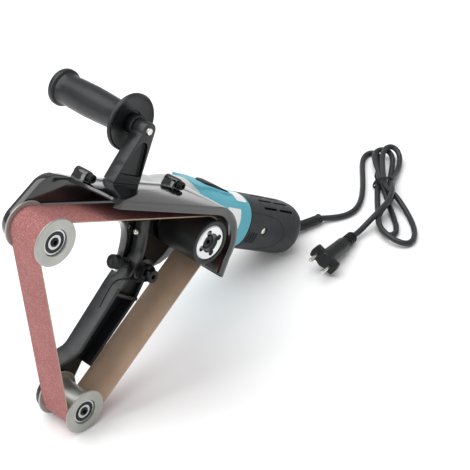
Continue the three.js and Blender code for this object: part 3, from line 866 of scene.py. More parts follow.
class Sanding:
    """What every sub-assembly shares: standing its pieces in the frame and dressing them."""

    def stand(
        self,
        obj: bpy.types.Object,
        finish: Finish,
        body: str,
        slot: str,
        *replaced: str,
        smooth: float = 32,
        at: Matrix = TOOL,
    ) -> bpy.types.Object:
        """Stands a finished mesh in the row frame, dresses it and makes it ride.

        Args:
            obj: the mesh, in millimetres.
            finish: its material.
            body: the CAD body it moves with, or an empty name for a piece that is attached to no body.
            slot: the record's material slot; not used.
            replaced: the CAD nodes it stands for.
            smooth: the angle in degrees under which faces shade as one.
            at: the axes it was modelled in.

        Returns:
            the finished piece.
        """
        Bench.mend(obj)
        obj.matrix_world = at
        Bench.settle(obj)
        if not obj.data.materials:
            obj.data.materials.append(finish.build())
        bpy.ops.object.shade_smooth_by_angle(angle=math.radians(smooth))
        if body:
            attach(obj, body)
        if replaced:
            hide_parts(*replaced)
        log.info("%s: %d faces, rides on %s", obj.name, len(obj.data.polygons), body or "two bodies")
        return obj


# ---- the mains lead -------------------------------------------------------------------------------
@dataclass
class Lead(Sanding):
    """The mains lead: a tapered guard, one cord tied in a hank, a wire tie and a round two-pin plug."""

    radius: float = 3.5
    tie: Point = (378.0, -4.0)
    angle: float = math.radians(43.6)
    plug_tail: Point = (262.2, -54.3, 8.2)
    plug_head: Point = (191.0, -71.5, 18.2)
    exit: Point = (266.2, 0.4, 7.4)
    easing: int = 3
    start: tuple[Point, ...] = (
        (266.2, 0.4, 7.4),
        (271.0, -1.0, 5.9),
        (279.0, -5.0, 4.2),
        (288.0, -11.0, 3.7),
        (297.0, -15.8, 3.6),
        (309.0, -17.6, 3.6),
        (322.0, -14.6, 3.6),
        (337.0, -6.8, 3.6),
        (356.0, 8.2, 3.6),
        (375.0, 25.0, 3.6),
    )
    # Each turn of the hank: along it from the tie, across it to the right, and how high it lies.
    first_turn: tuple[Point, ...] = (
        (32, -22.8, 3.6), (47, -22.6, 3.6), (62, -22.2, 3.6), (75, -20.5, 3.6), (85, -15, 3.6),
        (88.5, -6.5, 3.6), (84, 1, 3.6), (74, 4, 3.6), (60, 3, 3.6), (40, -1.5, 3.6), (20, -5, 3.6),
        (0, -6.5, 3.6), (-25, -7.5, 3.6), (-55, -9, 3.6), (-82, -10.5, 3.6), (-98, -10, 3.6),
        (-109, -5, 3.6), (-113, 3.5, 3.6), (-108, 11.5, 3.6), (-97, 14.5, 3.6), (-80, 12, 3.6),
        (-56, 7, 3.6), (-28, 3, 3.6), (0, 1.5, 4.6),
    )
    second_turn: tuple[Point, ...] = (
        (18, 0, 8.2), (36, -4, 10.4), (54, -8, 10.7), (68, -9, 10.7), (79, -5, 10.7), (84.5, 3, 10.7),
        (83, 12, 10.6), (76, 18, 10), (65, 20, 8), (52, 18, 5), (37, 13.5, 3.8), (18, 10, 3.7),
        (0, 9.5, 3.7), (-14, 11, 3.7), (-27, 12.4, 3.8), (-38, 10, 10.6), (-48, 4, 11.8), (-60, -4, 10.8),
        (-72, -11, 10.3), (-84, -13.5, 9.8), (-98, -12, 9.9), (-111, -7, 10.6), (-121, 1, 10.4),
        (-129, 10, 7), (-132, 20, 4.2), (-127, 29, 3.6), (-114, 34, 3.6), (-96, 35, 3.6),
        (-77, 32, 3.6), (-60, 27, 3.6), (-46, 22, 7), (-36, 17, 12), (-28, 12, 13),
        (-20, 6.5, 12), (-10, 2.5, 11), (0, 0.5, 10.6),
    )
    third_turn: tuple[Point, ...] = (
        (18, 2, 12.4), (38, 3, 13.2), (56, 2, 14.5), (69, 3.5, 17), (79, 9, 17.9), (83, 17, 17.4),
        (80, 24.5, 15), (71, 29, 10.5), (59, 29, 6), (44, 25, 4.2), (29, 19.8, 4.6), (14, 14, 8.8),
        (0, 10.5, 10.9), (-8, 10.2, 13.4), (-16, 10.7, 16.6), (-26, 11, 18.3), (-38, 10, 18.3),
        (-50, 6, 18.2), (-60, 1, 17.9), (-70, -5, 17.2), (-79, -12, 16.9), (-88, -19.5, 13.5),
        (-97, -27, 9.6), (-105, -33.3, 8.2),
    )

    def on_hank(self, point: Point) -> Point:
        """Turns a point of the hank to the row frame, still in millimetres.

        Args:
            point: its place along the hank, across it and up.

        Returns:
            the same place in x, y and z.
        """
        along, across, up = point
        c, s = math.cos(self.angle), math.sin(self.angle)
        return self.tie[0] + along * c + across * s, self.tie[1] + along * s - across * c, up

    def route(self) -> list[Point]:
        """Works out the cord's whole line.

        Returns:
            the line's points, in metres.
        """
        turns = (*self.first_turn, *self.second_turn, *self.third_turn)
        tail = [
            Vector(self.plug_tail) + (Vector(self.plug_head) - Vector(self.plug_tail)) * t
            for t in (0, 0.06)
        ]
        points = [Vector(p) for p in (*self.start, *(self.on_hank(p) for p in turns), *tail)]
        for _ in range(self.easing):
            inner = zip(points, points[1:], points[2:])
            points[2:-3] = [a * 0.25 + b * 0.5 + c * 0.25 for a, b, c in inner][1:-2]
        return [tuple(v * MM for v in p) for p in points]

    def cord(self) -> bpy.types.Object:
        """Lays the cord along its route.

        Returns:
            the cord, a curve.
        """
        points = self.route()
        curve = bpy.data.curves.new("mains_cord", "CURVE")
        curve.dimensions = "3D"
        curve.bevel_depth = self.radius * MM
        curve.bevel_resolution = 4
        curve.resolution_u = 6
        curve.use_fill_caps = True
        spline = curve.splines.new("BEZIER")
        spline.bezier_points.add(len(points) - 1)
        for knot, point in zip(spline.bezier_points, points):
            knot.co = point
            knot.handle_left_type = knot.handle_right_type = "AUTO"
        obj = bpy.data.objects.new("mains_cord", curve)
        bpy.context.scene.collection.objects.link(obj)
        curve.materials.append(CABLE_SHEATH.build())
        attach(obj, "frame")
        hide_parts("cord_lead", "cord_hank", "cord_loop", "plug_lead")
        log.info("mains_cord: %d knots", len(points))
        return obj

    def guard(self) -> bpy.types.Object:
        """Makes the bend relief: thick rings where it leaves the housing, thinner towards the cord.

        Returns:
            the bend relief.
        """
        length, turns = 78.0, 14
        profile = [(3.0, 0.0), (7.0, 0.0), (7.0, 6.0), (6.8, 7.0)]
        for i in range(turns):
            at = 12 + i * (length - 19) / turns
            thick = 6.8 - 1.1 * i / turns
            profile += [
                (thick, at), (thick, at + 3.0), (thick - 0.35, at + 3.3), (thick - 0.35, at + 3.9),
            ]
        profile += [(5.6, length - 4), (6.2, length - 3), (6.2, length - 1), (5.2, length)]
        obj = Bench.turned("bend_relief", [(0, 0), *profile, (0, length)], Axis.X, steps=32)
        self.follow(obj, length)
        return self.stand(obj, RUBBER_TYRE, "frame", "rubber", "cord_guard", at=Matrix.Scale(MM, 4))

    def follow(self, obj: bpy.types.Object, length: float) -> None:
        """Bends a straight sleeve along the guard's line.

        Args:
            obj: a sleeve along x from 0 to its length.
            length: the sleeve's length in millimetres.
        """
        c, s = math.cos(PITCH), math.sin(PITCH)
        base = SPINDLE / MM
        line = [Vector((base.x + x * c, base.y, base.z - x * s)) for x in (238.0, 247.0, 256.0, 263.0)]
        line += [Vector(p) for p in ((227, 5.9, 11.2), (238.5, 4.8, 8.3), (252, 2.6, 7.6), self.exit)]
        steps = [0.0]
        for a, b in zip(line, line[1:]):
            steps.append(steps[-1] + (b - a).length)
        scale = steps[-1] / length
        for vertex in obj.data.vertices:
            far = min(max(vertex.co.x * scale, 0), steps[-1] - 1e-4)
            i = max(k for k in range(len(steps) - 1) if steps[k] <= far)
            t = (far - steps[i]) / (steps[i + 1] - steps[i])
            before, after = line[max(i - 1, 0)], line[min(i + 2, len(line) - 1)]
            start, end = (line[i + 1] - before).normalized(), (after - line[i]).normalized()
            along = start.lerp(end, t).normalized()
            side = along.cross(Vector((0, 0, 1))).normalized()
            up = side.cross(along)
            span = (line[i + 1] - line[i]).length
            spot = line[i] * (2 * t**3 - 3 * t**2 + 1) + line[i + 1] * (3 * t**2 - 2 * t**3)
            spot += (start * (t**3 - 2 * t**2 + t) + end * (t**3 - t**2)) * span
            vertex.co = spot + side * vertex.co.y + up * vertex.co.z

    def tie_band(self) -> bpy.types.Object:
        """Makes the wire tie: two turns round the waist and a twisted end.

        Returns:
            the tie.
        """
        loops = []
        for turn in range(2):
            shift = -2.2 + 3.2 * turn
            ring = softened(
                [(-11, 0.9), (14, 0.9), (15, 5), (15, 13), (9, 17.4), (-3, 16.6), (-11, 9)],
                2,
            )
            loops += [(shift + 1.6 * i / len(ring), b, z) for i, (b, z) in enumerate(ring)]
        loops += [(2, -8, 14), (2.5, -9.5, 18), (4, -9, 21), (7, -8, 22)]
        points = [self.on_hank(p) for p in loops]
        obj = Bench.wire("wire_tie", points, 0.8)
        return self.stand(
            obj,
            BLACK_NYLON,
            "frame",
            "black_plastic",
            "cord_tie",
            at=Matrix.Scale(MM, 4),
        )

    def plug(self) -> list[bpy.types.Object]:
        """Makes the plug: ribbed collar, tapered neck, a round head with finger hollows, and two pins.

        Returns:
            the moulding and the pins.
        """
        start, end = Vector(self.plug_tail), Vector(self.plug_head)
        turn = Vector((1, 0, 0)).rotation_difference(end - start).to_matrix().to_4x4()
        at = Matrix.Scale(MM, 4) @ Matrix.Translation(start) @ turn
        profile = [(0, 0), (5.0, 0)]
        for i in range(4):
            x = 0.6 + 5.2 * i
            profile += [
                (6.4, x + 0.5), (7.2, x + 1.2), (7.2, x + 3.2), (6.4, x + 3.6), (5.2, x + 3.8),
                (5.2, x + 4.8),
            ]
        profile += [
            (7.6, 22), (8.6, 24), (8.8, 36), (9.2, 52), (9.6, 60), (9.8, 65), (9.8, 73.2),
            (9.2, 74),
        ]
        body = Bench.turned("plug_moulding", [*profile, (0, 74)], Axis.X, steps=56)
        disc = Bench.rod(18, 66, 73.9, Axis.X, sides=72)
        Bench.cut(
            disc,
            *(Bench.block((60, side * 14 - 6, -30), (80, side * 14 + 6, 30)) for side in (-1, 1)),
        )
        Bench.join(body, Bench.bevel(disc, 0.8))
        Bench.cut(body, *(Bench.rod(2.6, 70, 90, Axis.X, (0, z), 24) for z in (-9.5, 9.5)))
        body.name = "plug_moulding"
        made = [self.stand(body, BLACK_NYLON, "frame", "black_plastic", "plug_body", at=at)]
        for name, z in (("plug_pin_upper", 9.5), ("plug_pin_lower", -9.5)):
            shape = [(0, 70), (2.3, 70), (2.3, 90), (1.9, 92.2), (0.9, 93), (0, 93)]
            pin = Bench.turned(name.replace("plug_", "contact_"), shape, Axis.X, (0, z), 24)
            made.append(self.stand(pin, ZINC_PLATE, "frame", "plated_brass", name, at=at))
        return made

    def build(self) -> None:
        cord = self.cord()
        extras = [self.guard(), self.tie_band(), *self.plug()]
        length = sum((Vector(b) - Vector(a)).length for a, b in zip(self.route(), self.route()[1:]))
        log.info("the lead is %.3f m long", length)


# ---- the guard ------------------------------------------------------------------------------------
@dataclass
class Guard(Sanding):
    """The black casting over the belt: wall, plate, curl round the drum, lugs and bracket."""

    near: float = -95.0
    far: float = -33.0
    level: float = 38.6
    slope: float = 0.066
    thick: float = 4.0
    lugs: dict[str, float] = field(
        default_factory=lambda: {"lug_screw_front": -150.5, "lug_screw_rear": -22.7},
    )
    lug_radius: float = 5.5

    def top(self, x: float) -> float:
        """Returns the plate's height at x."""
        return self.level + self.slope * x

    def wall(self) -> bpy.types.Object:
        """Makes the back wall.

        Returns:
            the wall.
        """
        outline = [
            *arc(UPPER, 19, -90, -216, 22),
            *arc((-182, 4), 24, 145, 96, 8),
            (-172, 28.6),
            (-164, self.top(-158) - 0.1),
            *arc((0, -6), 44.6, 90, -10, 24),
            (44, -28),
            (28, -27),
            (6, -47),
            (-24, -62),
            *arc(PIVOT, 16, -40, -190, 18),
            *softened_corner((-56, -34), (-62, -7), (-84, -6), 6),
            (-140, -11),
            *softened_corner((-150, -12), (-166, -16), (-178, -36), 6),
        ]
        return Bench.bevel(Bench.slab("wall", outline, -42, self.far), 0.9)

    def skin(self) -> bpy.types.Object:
        """Makes the top plate that curls down round the drum, its free end cut on a slant.

        Returns:
            the plate.
        """
        outer = [(-190, self.top(-190)), *arc((0, -6), 44.6, 90, -10, 28), (45, -36)]
        inner = [(41, -36), *arc((0, -6), 40.6, -10, 90, 28), (-190, self.top(-190) - self.thick)]
        plate = Bench.slab("skin", outer + inner, self.near, self.far)
        rim = [(-190, self.top(-190) - 1), *arc((0, -6), 43.6, 90, -10, 28), (44, -35.4), (36, -33)]
        rim += [*arc((0, -6), 35.6, -10, 90, 28), (-190, self.top(-190) - 9)]
        Bench.join(plate, Bench.slab("rim", rim, self.near + 0.1, self.near + 4.2))
        plan = [
            (-168.5, self.far),
            (-167, -38),
            (-163, -45),
            (-158.5, -55),
            (-155.2, -66),
            (-153, -76),
            *arc((-142, -85), 10, 175, 270, 8),
            (60, self.near),
            (60, self.far),
        ]
        Bench.meet(plate, Bench.slab("plan", plan, -90, 90, Axis.Z))
        return Bench.bevel(plate, 0.9)

    def lug(self, x: float) -> bpy.types.Object:
        """Makes one boss on the plate: an eye for the screw on a flared foot.

        Args:
            x: where it stands along the plate.

        Returns:
            the boss.
        """
        z = self.top(x) + self.lug_radius - 0.5
        eye = Bench.bevel(Bench.rod(self.lug_radius, -50, self.far, Axis.Y, (x, z), 40), 0.6)
        foot = [(x - 7, self.top(x) - 1.5), (x + 7, self.top(x) - 1.5), (x + 5.2, z), (x - 5.2, z)]
        return Bench.join(eye, Bench.bevel(Bench.slab("foot", foot, -50, self.far), 0.6))

    def screw(self, name: str, x: float) -> None:
        """Makes one socket cap screw with a knurled head.

        Args:
            name: the CAD node it replaces.
            x: where its lug stands along the plate.
        """
        z = self.top(x) + self.lug_radius - 0.5
        head = Bench.slab("cap_" + name, star((x, z), 4.3, 4.05, 24), -56.5, -50.1)
        shape = [
            (0, -56.3), (3.7, -56.3), (4.5, -55.6), (4.5, -50.3), (2.5, -50.3), (2.5, -37),
            (0, -37),
        ]
        shape_body = Bench.turned("shape", shape, Axis.Y, (x, z), 48)
        Bench.join(head, Bench.rod(2.5, -51, -37, Axis.Y, (x, z), 48))
        Bench.meet(head, shape_body)
        Bench.cut(head, Bench.rod(2.2, -58, -53.2, Axis.Y, (x, z), 6))
        self.stand(head, BLACK_OXIDE, "frame", "black_steel", name)

    def casting(self) -> None:
        """Joins wall, plate, lugs and bosses into one casting and bores it."""
        body = self.wall()
        Bench.join(
            body,
            self.skin(),
            Bench.bevel(Bench.rod(12, -42.9, self.far, Axis.Y, UPPER, 48), 0.5),
        )
        for x in self.lugs.values():
            Bench.join(body, self.lug(x))
        bores = [
            Bench.rod(20.4, -60, -20, Axis.Y, DRUM, 64),
            Bench.rod(4.8, -60, -20, Axis.Y, UPPER, 32),
            Bench.rod(4.3, -60, -20, Axis.Y, PIVOT, 32),
        ]
        for x in self.lugs.values():
            z = self.top(x) + self.lug_radius - 0.5
            bores.append(Bench.rod(2.8, -60, -36, Axis.Y, (x, z), 24))
        Bench.cut(body, *bores)
        body.name = "guard_casting"
        self.stand(body, GLOSS_ENAMEL, "frame", "black_casting", "guard_frame")

    def bracket(self) -> None:
        """Makes the handle's bracket: a tapering blade with a raised rim round a hollow."""
        x, z = HANDLE
        edge = [
            *softened_corner((-112, self.top(-112) + 0.3), (-106, 56), (x - 7.8, z - 3.5), 10),
            *arc((x, z), 8.7, 205, 10, 20),
            (-75.6, self.top(-75.6) + 0.3),
        ]
        blade = Bench.bevel(Bench.slab("bracket_casting", edge, -46.5, -32), 0.9)
        hollow = Bench.slab(
            "hollow",
            [
                (-107.4, 41), (-102.4, 57), (-96, 71), (-92.6, 76), (-86.6, 76), (-83, 72),
                (-77.4, 41),
            ],
            -60,
            -42.4,
        )
        Bench.cut(blade, Bench.bevel(hollow, 1.2, 3))
        Bench.cut(blade, Bench.rod(4.3, -60, -20, Axis.Y, HANDLE, 32))
        self.stand(blade, ARM_ENAMEL, "frame", "black_casting", "handle_bracket")

    def build(self) -> None:
        """Makes the guard's pieces."""
        self.casting()
        for name, x in self.lugs.items():
            self.screw(name, x)
        self.bracket()


def softened_corner(start: Point, corner: Point, end: Point, steps: int) -> Outline:
    """Returns points on a curve from start to end that leans to a corner.

    Args:
        start: the first point.
        corner: where the curve would turn sharply.
        end: the last point.
        steps: how many pieces it is cut into.

    Returns:
        the curve's points.
    """
    points = []
    for i in range(steps + 1):
        t = i / steps
        weights = ((1 - t) ** 2, 2 * t * (1 - t), t * t)
        points.append(
            tuple(sum(w * p[k] for w, p in zip(weights, (start, corner, end))) for k in (0, 1)),
        )
    return points


@dataclass
class SideHandle(Sanding):
    """The screwed-in side handle with its hand disc, stud and knurled lock nut."""

    threads: int = 30
    pitch: float = 1.25
    knurls: int = 30

    def grip(self) -> None:
        """Makes the grip: a hand disc with a rolled rim, a barrelled handle and a domed end flange."""
        profile = [
            (0, 22), (4.3, 22), (4.3, -20.5), (12, -20.5), (13, -21.6), (26.5, -21.6),
            (27.5, -22.4),
        ]
        profile += [
            (29, -22.3), (30, -20.8), (29.8, -18.4), (28.4, -17.2), (26, -17.4), (19, -15.6),
            (16, -12),
        ]
        profile += [
            (15.2, -7), (15.6, 6), (16.4, 22), (16.9, 38), (16.7, 56), (16.2, 68), (16.3, 74),
            (17.2, 76.5),
        ]
        profile += [
            (19.2, 77.6), (19.8, 79), (19.8, 82.6), (19.2, 84.2), (17.6, 85), (16.4, 84.4),
            (15.4, 84.6),
        ]
        profile += [(12, 85.8), (0, 86)]
        body = Bench.turned("grip_moulding", profile, Axis.Y, HANDLE, 96)
        self.stand(body, GRIP_PLASTIC, "frame", "black_plastic", "handle_grip", smooth=40)

    def stud(self) -> None:
        """Makes the stud, threaded from the bracket to the handle."""
        profile = [(0, -48), (3.2, -48), (3.9, -47.2)]
        for i in range(self.threads):
            y = -46.8 + self.pitch * i
            profile += [(4.0, y), (3.5, y + 0.6)]
        profile += [(4.0, -8), (4.0, 20), (3.4, 21), (0, 21)]
        bar = Bench.turned("grip_stud", profile, Axis.Y, HANDLE, 32)
        self.stand(bar, ZINC_PLATE, "frame", "zinc", "handle_stud")

    def nut(self) -> None:
        """Makes the lock nut with a coarse knurl."""
        body = Bench.bevel(Bench.slab("lock_nut", star(HANDLE, 11, 10.3, self.knurls), -31.7, -22.3), 0.4)
        Bench.cut(body, Bench.rod(4.3, -40, -10, Axis.Y, HANDLE, 32))
        self.stand(body, BLACK_OXIDE, "frame", "black_steel", "handle_lock_nut")

    def build(self) -> None:
        """Makes the handle's pieces."""
        self.grip()
        self.stud()
        self.nut()


# ---- drum, rollers and belt -----------------------------------------------------------------------
@dataclass
class Wheels(Sanding):
    """The rubber-tyred drum and the two flanged rollers on sealed bearings."""

    near: float = -88.0
    width: float = 44.7
    flange: float = 23.77
    barrel: float = 17.7

    def drum(self) -> None:
        """Makes the drum's hub with its four-lobed hollow, the tyre and the cap screw."""
        face = -97.4
        profile = [
            (6.3, face + 1.2), (7.5, face), (17.3, face), (18.5, face + 0.8), (18.5, -47),
            (6.3, -47), (6.3, face + 1.2),
        ]
        hub = Bench.turned("drum_core", profile, Axis.Y, DRUM, 72)
        Bench.cut(hub, Bench.rod(10.6, face - 5, face + 3.6, Axis.Y, DRUM, 56))
        for i in range(4):
            spot = arc(DRUM, 12.2, 35 + 90 * i, 35 + 90 * i, 1)[0]
            Bench.cut(hub, Bench.rod(3.3, face - 5, face + 3.6, Axis.Y, spot, 28))
        Bench.cut(hub, Bench.rod(8, face - 5, face + 9, Axis.Y, DRUM, 40))
        metal = turned_metal("turned_hub", DRUM, "#E4E6E6", "#CFD1D2", (0.3, 0.42))
        hub.data.materials.append(metal.build())
        hub.data.materials.append(CAST_POCKET.build())
        for face_ in hub.data.polygons:
            middle = face_.center
            sunk = face + 0.3 < middle.y < face + 9.5 and math.hypot(middle.x, middle.z) < 16.6
            face_.material_index = 1 if sunk else 0
        self.stand(hub, metal, "drum", "bare_casting", "drum_hub")
        tyre = [
            (18.8, -97.0), (19.6, -97.6), (22.8, -97.6), (23.6, -96.8), (23.6, -45.4),
            (22.8, -44.6), (18.8, -44.6), (18.8, -97.0),
        ]
        self.stand(
            Bench.turned("drum_tyre", tyre, Axis.Y, DRUM, 96),
            RUBBER_TYRE,
            "drum",
            "rubber",
            "drum_sleeve",
        )
        head = Bench.bevel(Bench.rod(6.8, face + 3, face + 8.7, Axis.Y, DRUM, 48), 0.6)
        Bench.join(head, Bench.rod(3, face + 8, -80, Axis.Y, DRUM, 24))
        Bench.cut(head, Bench.rod(2.9, face - 1, face + 6.5, Axis.Y, DRUM, 6))
        head.name = "drum_bolt"
        self.stand(head, BLACK_OXIDE, "drum", "black_steel", "drum_screw")

    def roller(
        self, prefix: str, centre: Point, body: str, axle_body: str, axle_end: float, nut: float
    ) -> None:
        """Makes one roller with its bearings, axle and nut.

        Args:
            prefix: upper or lower.
            centre: where its axle stands in x and z.
            body: the CAD body of the turning pieces.
            axle_body: the CAD body of the axle.
            axle_end: where the axle ends behind the casting.
            nut: where the nut starts.
        """
        near, far = self.near, self.near + self.width
        profile = [(13.3, near + 0.5), (13.8, near), (23.2, near), (self.flange, near + 0.5)]
        profile += [
            (self.flange, near + 1.5), (23.2, near + 2), (18.6, near + 2.2),
            (self.barrel, near + 3),
        ]
        profile += [(self.barrel + 0.15, (near + far) / 2)]
        profile += [(r, near + far - y) for r, y in reversed(profile[:-1])]
        profile += [
            (13.3, far - 10), (8.5, far - 10), (8.5, near + 10), (13.3, near + 10),
            (13.3, near + 0.5),
        ]
        metal = turned_metal("turned_roller_" + prefix, centre, "#AFB0AB", "#97988F", (0.34, 0.5))
        shell = Bench.turned(prefix + "_barrel", profile, Axis.Y, centre, 96)
        self.stand(shell, metal, body, "roller_metal", prefix + "_roller")
        for side, start, turn in (("near", near + 2, 1), ("far", far - 2, -1)):
            self.bearing(f"{prefix}_{side}", centre, start, turn, body, f"{prefix}_bearing_{side}")
        axle = Bench.bevel(Bench.rod(4.5, near + 1, axle_end, Axis.Y, centre, 40), 0.5)
        Bench.cut(axle, Bench.rod(2.7, near - 2, near + 5, Axis.Y, centre, 6))
        axle.name = prefix + "_pin"
        self.stand(axle, BLACK_OXIDE, axle_body, "black_steel", prefix + "_axle")
        hexagon = Bench.bevel(Bench.rod(8.2, nut, nut + 5, Axis.Y, centre, 6), 0.5)
        Bench.cut(hexagon, Bench.rod(4.8, nut - 2, nut + 8, Axis.Y, centre, 32))
        hexagon.name = prefix + "_nut"
        self.stand(hexagon, BLACK_OXIDE, axle_body, "black_steel", prefix + "_axle_nut")

    def bearing(self, name: str, centre: Point, start: float, turn: int, body: str, replaced: str) -> None:
        """Makes a sealed ball bearing: two steel rings and a dark seal set a little in.

        Args:
            name: the start of its pieces' names.
            centre: where its axis stands in x and z.
            start: its outer face, along y.
            turn: 1 if it lies beyond that face, -1 if before it.
            body: the CAD body it moves with.
            replaced: its CAD node.
        """

        def ring(label: str, points: Outline) -> bpy.types.Object:
            """Turns one ring and returns it."""
            shape = [(r, start + turn * y) for r, y in points]
            return Bench.turned(label, shape, Axis.Y, centre, 64)

        outer = ring(
            name + "_race",
            [(11, 0), (12.6, 0), (13, 0.4), (13, 7.3), (12.6, 7.7), (11, 7.7), (11, 0)],
        )
        inner = ring(name + "_ring", [(4.8, 0), (7.3, 0), (7.3, 7.7), (4.8, 7.7), (4.8, 0)])
        seal = ring(
            name + "_seal",
            [(7.2, 0.9), (8.2, 0.5), (11.1, 0.7), (11.1, 7.0), (7.2, 7.0), (7.2, 0.9)],
        )
        self.stand(outer, BRIGHT_STEEL, body, "steel", replaced)
        self.stand(inner, BRIGHT_STEEL, body, "steel")
        self.stand(seal, BLACK_NYLON, body, "black_plastic")

    def build(self) -> None:
        """Makes the drum and the rollers."""
        self.drum()
        self.roller("upper", UPPER, "upper_idler", "frame", -28, -32.7)
        self.roller("lower", LOWER, "lower_idler", "arm", -27, -32.7)


@dataclass
class Belt(Sanding):
    """The sanding belt: cloth with grit outside, stretched round the drum and rollers."""

    near: float = -85.7
    width: float = 40.0
    thick: float = 1.2
    lift: float = 0.9

    def line(self) -> list[Point]:
        """Works out the belt's closed line at mid thickness.

        Returns:
            its points in x and z.
        """
        wheels = [(UPPER, 17.7), (LOWER, 17.7), (DRUM, 23.6)]
        leaving = []
        for i, (start, r0) in enumerate(wheels):
            end, r1 = wheels[(i + 1) % 3]
            gap = math.dist(start, end)
            heading = math.atan2(end[1] - start[1], end[0] - start[0])
            leaving.append(math.degrees(heading - math.pi / 2 + math.asin((r0 - r1) / gap)))
        points = []
        for i, (centre, radius) in enumerate(wheels):
            first, last = leaving[i - 1], leaving[i]
            while last < first:
                last += 360
            points += arc(centre, radius + self.lift, first, last, 20)
            after, r1 = wheels[(i + 1) % 3]
            spot = arc(after, r1 + self.lift, last, last, 1)[0]
            pieces = 24
            for k in range(1, pieces):
                t = k / pieces
                points.append(tuple(a + (b - a) * t for a, b in zip(points[-k], spot)))
        return points

    def build(self) -> None:
        """Makes the belt with its map: metres along it and across it."""
        points = self.line()
        band = Bench.line(
            "abrasive_belt",
            [(x, self.near, z) for x, z in points] + [(points[0][0], self.near, points[0][1])],
        )
        bpy.ops.mesh.remove_doubles(threshold=0.01)
        strips = 8
        for _ in range(strips):
            bpy.ops.mesh.extrude_region_move(
                TRANSFORM_OT_translate={"value": (0, self.width / strips, 0)},
            )
        Bench.settle(band)
        lengths = [0.0]
        for a, b in zip(points, points[1:] + points[:1]):
            lengths.append(lengths[-1] + math.dist(a, b))
        belt_map = band.data.uv_layers.new(name="belt")
        spots = {self.key(p): far for p, far in zip(points, lengths)}
        for face in band.data.polygons:
            far = {
                k: spots[self.key((band.data.vertices[v].co.x, band.data.vertices[v].co.z))]
                for k, v in zip(face.loop_indices, face.vertices)
            }
            wraps = max(far.values()) - min(far.values()) > lengths[-1] / 2
            for k, v in zip(face.loop_indices, face.vertices):
                along = far[k] + (lengths[-1] if wraps and far[k] < lengths[-1] / 2 else 0)
                belt_map.data[k].uv = (along * MM, band.data.vertices[v].co.y * MM)
        band.data.materials.append(BELT_GRIT.build())
        band.data.materials.append(BELT_CLOTH.build())
        Bench.pick(band)
        bpy.ops.object.mode_set(mode="EDIT")
        bpy.ops.mesh.select_all(action="SELECT")
        bpy.ops.mesh.normals_make_consistent(inside=False)
        bpy.ops.object.mode_set(mode="OBJECT")
        middle = Vector((-90, -65, -60))
        first = band.data.polygons[0]
        outward = 1 if (first.center - middle).dot(first.normal) > 0 else -1
        step = band.modifiers.new("cloth", "SOLIDIFY")
        step.thickness = self.thick
        step.offset = 0
        step.material_offset = outward
        step.material_offset_rim = 1 if outward > 0 else 0
        if outward < 0:
            for face in band.data.polygons:
                face.material_index = 1
        bpy.ops.object.modifier_apply(modifier=step.name)
        self.stand(band, BELT_GRIT, "", "abrasive_cloth", "sanding_belt")
        self.slacken(band)

    def slacken(self, band: bpy.types.Object) -> None:
        """Puts the finished belt's place into its mesh.

        Args:
            band: the finished belt, in the row frame.
        """
        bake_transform(band)

    @staticmethod
    def key(point: Point) -> tuple[int, int]:
        """Returns a point rounded, to be found again."""
        return round(point[0] * 50), round(point[1] * 50)


# ---- the sprung arm -------------------------------------------------------------------------------
def ribbon(points: Outline, thick: float) -> Outline:
    """Draws a strip of even thickness along a line of points.

    Args:
        points: the line.
        thick: the strip's thickness.

    Returns:
        the strip's closed outline.
    """
    sides = []
    for i, (x, z) in enumerate(points):
        before, after = points[max(i - 1, 0)], points[min(i + 1, len(points) - 1)]
        along = Vector((after[0] - before[0], after[1] - before[1])).normalized()
        out = Vector((-along.y, along.x)) * thick / 2
        sides.append(((x + out.x, z + out.y), (x - out.x, z - out.y)))
    return [a for a, _ in sides] + [b for _, b in reversed(sides)]


def coil(centre: Point, radius: float, start: float, end: float, turns: float, axis: Axis) -> list[Point]:
    """Winds a line round an axis, as a spring lies.

    Args:
        centre: where its axis stands in the plane across it.
        radius: its radius to the middle of the wire.
        start: where it starts along the axis.
        end: where it ends.
        turns: how many times it goes round.
        axis: the axis it is wound about.

    Returns:
        the line's points.
    """
    count = int(turns * 12)
    ring = arc(centre, radius, 0, 360 * turns, count)
    return [axis.place(a, b, start + (end - start) * i / count) for i, (a, b) in enumerate(ring)]


